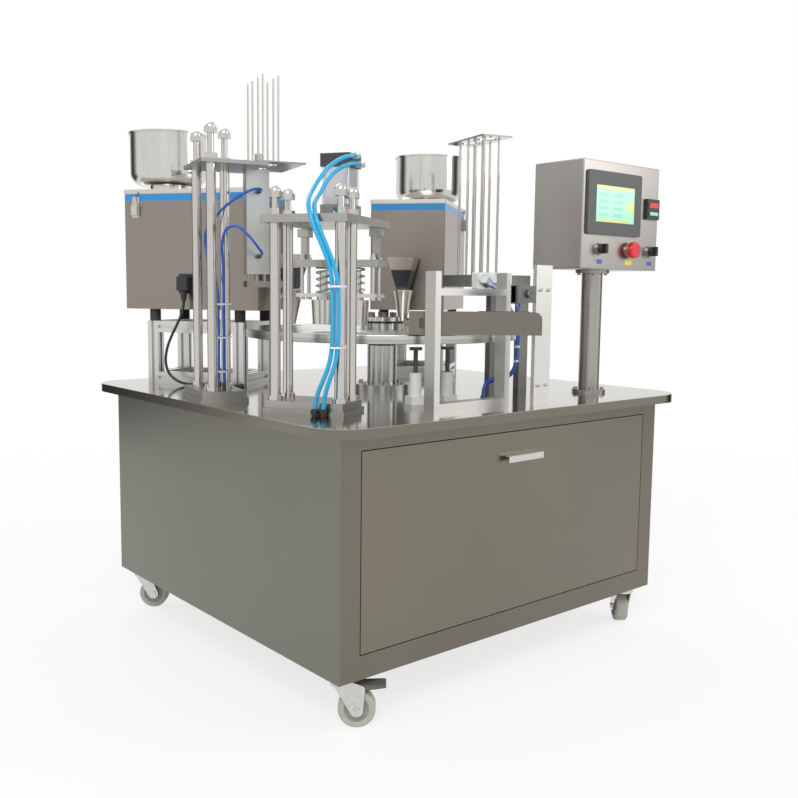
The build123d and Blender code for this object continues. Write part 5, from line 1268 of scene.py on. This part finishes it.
def build_camera(settings):
    """The photograph's view."""
    data = bpy.data.cameras.new("Photo view")
    data.sensor_width = 36.0
    data.lens = settings.lens
    data.shift_x, data.shift_y = CAMERA_SHIFT
    data.clip_start = 0.05
    data.clip_end = 200.0
    camera = put("Photo view", data)
    yaw = Matrix.Rotation(math.radians(-settings.yaw), 3, "Z")
    pitch = Matrix.Rotation(math.radians(90 - settings.pitch), 3, "X")
    roll = Matrix.Rotation(math.radians(settings.roll), 3, "Z")
    camera.matrix_world = Matrix.Translation(CAMERA_PLACE) @ (yaw @ pitch @ roll).to_4x4()
    bpy.context.scene.camera = camera


# Operators, panel and registration
class CUP_OT_stage(bpy.types.Operator):
    """Builds the floor, the room, the lamps and the camera"""

    bl_idname = "cup.stage"
    bl_label = "Stage"

    def execute(self, context):
        build_stage()
        return {"FINISHED"}


class CUP_OT_cabinet(bpy.types.Operator):
    """Finishes the cabinet, its door and the table"""

    bl_idname = "cup.cabinet"
    bl_label = "Cabinet"

    def execute(self, context):
        finish_cabinet()
        return {"FINISHED"}


class CUP_OT_casters(bpy.types.Operator):
    """Finishes the casters and their pedals"""

    bl_idname = "cup.casters"
    bl_label = "Casters"

    def execute(self, context):
        finish_casters()
        return {"FINISHED"}


class CUP_OT_turntable(bpy.types.Operator):
    """Finishes the disc, the hub and the drive"""

    bl_idname = "cup.turntable"
    bl_label = "Turntable"

    def execute(self, context):
        finish_turntable()
        return {"FINISHED"}


class CUP_OT_stations(bpy.types.Operator):
    """Finishes the sealing and the lid station"""

    bl_idname = "cup.stations"
    bl_label = "Stations"

    def execute(self, context):
        finish_stations()
        return {"FINISHED"}


class CUP_OT_springs(bpy.types.Operator):
    """Builds the springs on the sealing heads"""

    bl_idname = "cup.springs"
    bl_label = "Head springs"

    def execute(self, context):
        build_springs()
        return {"FINISHED"}


class CUP_OT_magazines(bpy.types.Operator):
    """Finishes the cup release and the pushers"""

    bl_idname = "cup.magazines"
    bl_label = "Magazines"

    def execute(self, context):
        finish_magazines()
        return {"FINISHED"}


class CUP_OT_fillers(bpy.types.Operator):
    """Finishes the fillers and their bowls"""

    bl_idname = "cup.fillers"
    bl_label = "Fillers"

    def execute(self, context):
        finish_fillers()
        return {"FINISHED"}


class CUP_OT_outlet(bpy.types.Operator):
    """Finishes the outlet and the control box"""

    bl_idname = "cup.outlet"
    bl_label = "Outlet and controls"

    def execute(self, context):
        finish_outlet()
        return {"FINISHED"}


class CUP_OT_press_hoses(bpy.types.Operator):
    """Builds the press hoses with their ties"""

    bl_idname = "cup.press_hoses"
    bl_label = "Press hoses"

    def execute(self, context):
        build_press_hoses()
        return {"FINISHED"}


class CUP_OT_air_tubes(bpy.types.Operator):
    """Builds the thin air tubes and the cup release's caps"""

    bl_idname = "cup.air_tubes"
    bl_label = "Air tubes"

    def execute(self, context):
        build_air_tubes()
        return {"FINISHED"}


class CUP_OT_sensor(bpy.types.Operator):
    """Builds the clamp and bolts of the sensor post"""

    bl_idname = "cup.sensor"
    bl_label = "Sensor clamp"

    def execute(self, context):
        build_sensor_bracket()
        return {"FINISHED"}


class CUP_OT_mains_lead(bpy.types.Operator):
    """Builds the filler's plug and lead"""

    bl_idname = "cup.mains_lead"
    bl_label = "Mains lead"

    def execute(self, context):
        build_mains_lead()
        return {"FINISHED"}


class CUP_OT_latches(bpy.types.Operator):
    """Builds the toggle latches of the cases"""

    bl_idname = "cup.latches"
    bl_label = "Case latches"

    def execute(self, context):
        build_case_latches()
        return {"FINISHED"}


class CUP_OT_operator_panel(bpy.types.Operator):
    """Builds the screen, display and plates"""

    bl_idname = "cup.operator_panel"
    bl_label = "Operator panel"

    def execute(self, context):
        build_operator_panel()
        return {"FINISHED"}


OPERATORS = (
    CUP_OT_stage,
    CUP_OT_cabinet,
    CUP_OT_casters,
    CUP_OT_turntable,
    CUP_OT_stations,
    CUP_OT_springs,
    CUP_OT_magazines,
    CUP_OT_fillers,
    CUP_OT_outlet,
    CUP_OT_press_hoses,
    CUP_OT_air_tubes,
    CUP_OT_sensor,
    CUP_OT_mains_lead,
    CUP_OT_latches,
    CUP_OT_operator_panel,
)


class CUP_PT_panel(bpy.types.Panel):
    """Lists the machine's settings and building steps"""

    bl_label = "Cup machine"
    bl_idname = "CUP_PT_panel"
    bl_space_type = "VIEW_3D"
    bl_region_type = "UI"
    bl_category = "Cup machine"

    def draw(self, context):
        for group in (context.scene.cup_finishes, context.scene.cup_hoses, context.scene.cup_stage):
            for key in group.bl_rna.properties.keys():
                if key not in ("rna_type", "name"):
                    self.layout.prop(group, key)
        for step in OPERATORS:
            self.layout.operator(step.bl_idname)


GROUP_TYPES = (
    ("cup_finishes", CUP_PG_finishes),
    ("cup_hoses", CUP_PG_hoses),
    ("cup_stage", CUP_PG_stage),
)


def register():
    for name, kind in GROUP_TYPES:
        bpy.utils.register_class(kind)
        setattr(bpy.types.Scene, name, bpy.props.PointerProperty(type=kind))
    for step in OPERATORS:
        bpy.utils.register_class(step)
    bpy.utils.register_class(CUP_PT_panel)


def unregister():
    bpy.utils.unregister_class(CUP_PT_panel)
    for step in reversed(OPERATORS):
        bpy.utils.unregister_class(step)
    for name, kind in reversed(GROUP_TYPES):
        delattr(bpy.types.Scene, name)
        bpy.utils.unregister_class(kind)


def main():
    register()
    for step in OPERATORS:
        family, name = step.bl_idname.split(".")
        getattr(getattr(bpy.ops, family), name)()


if __name__ == "__main__":
    main()
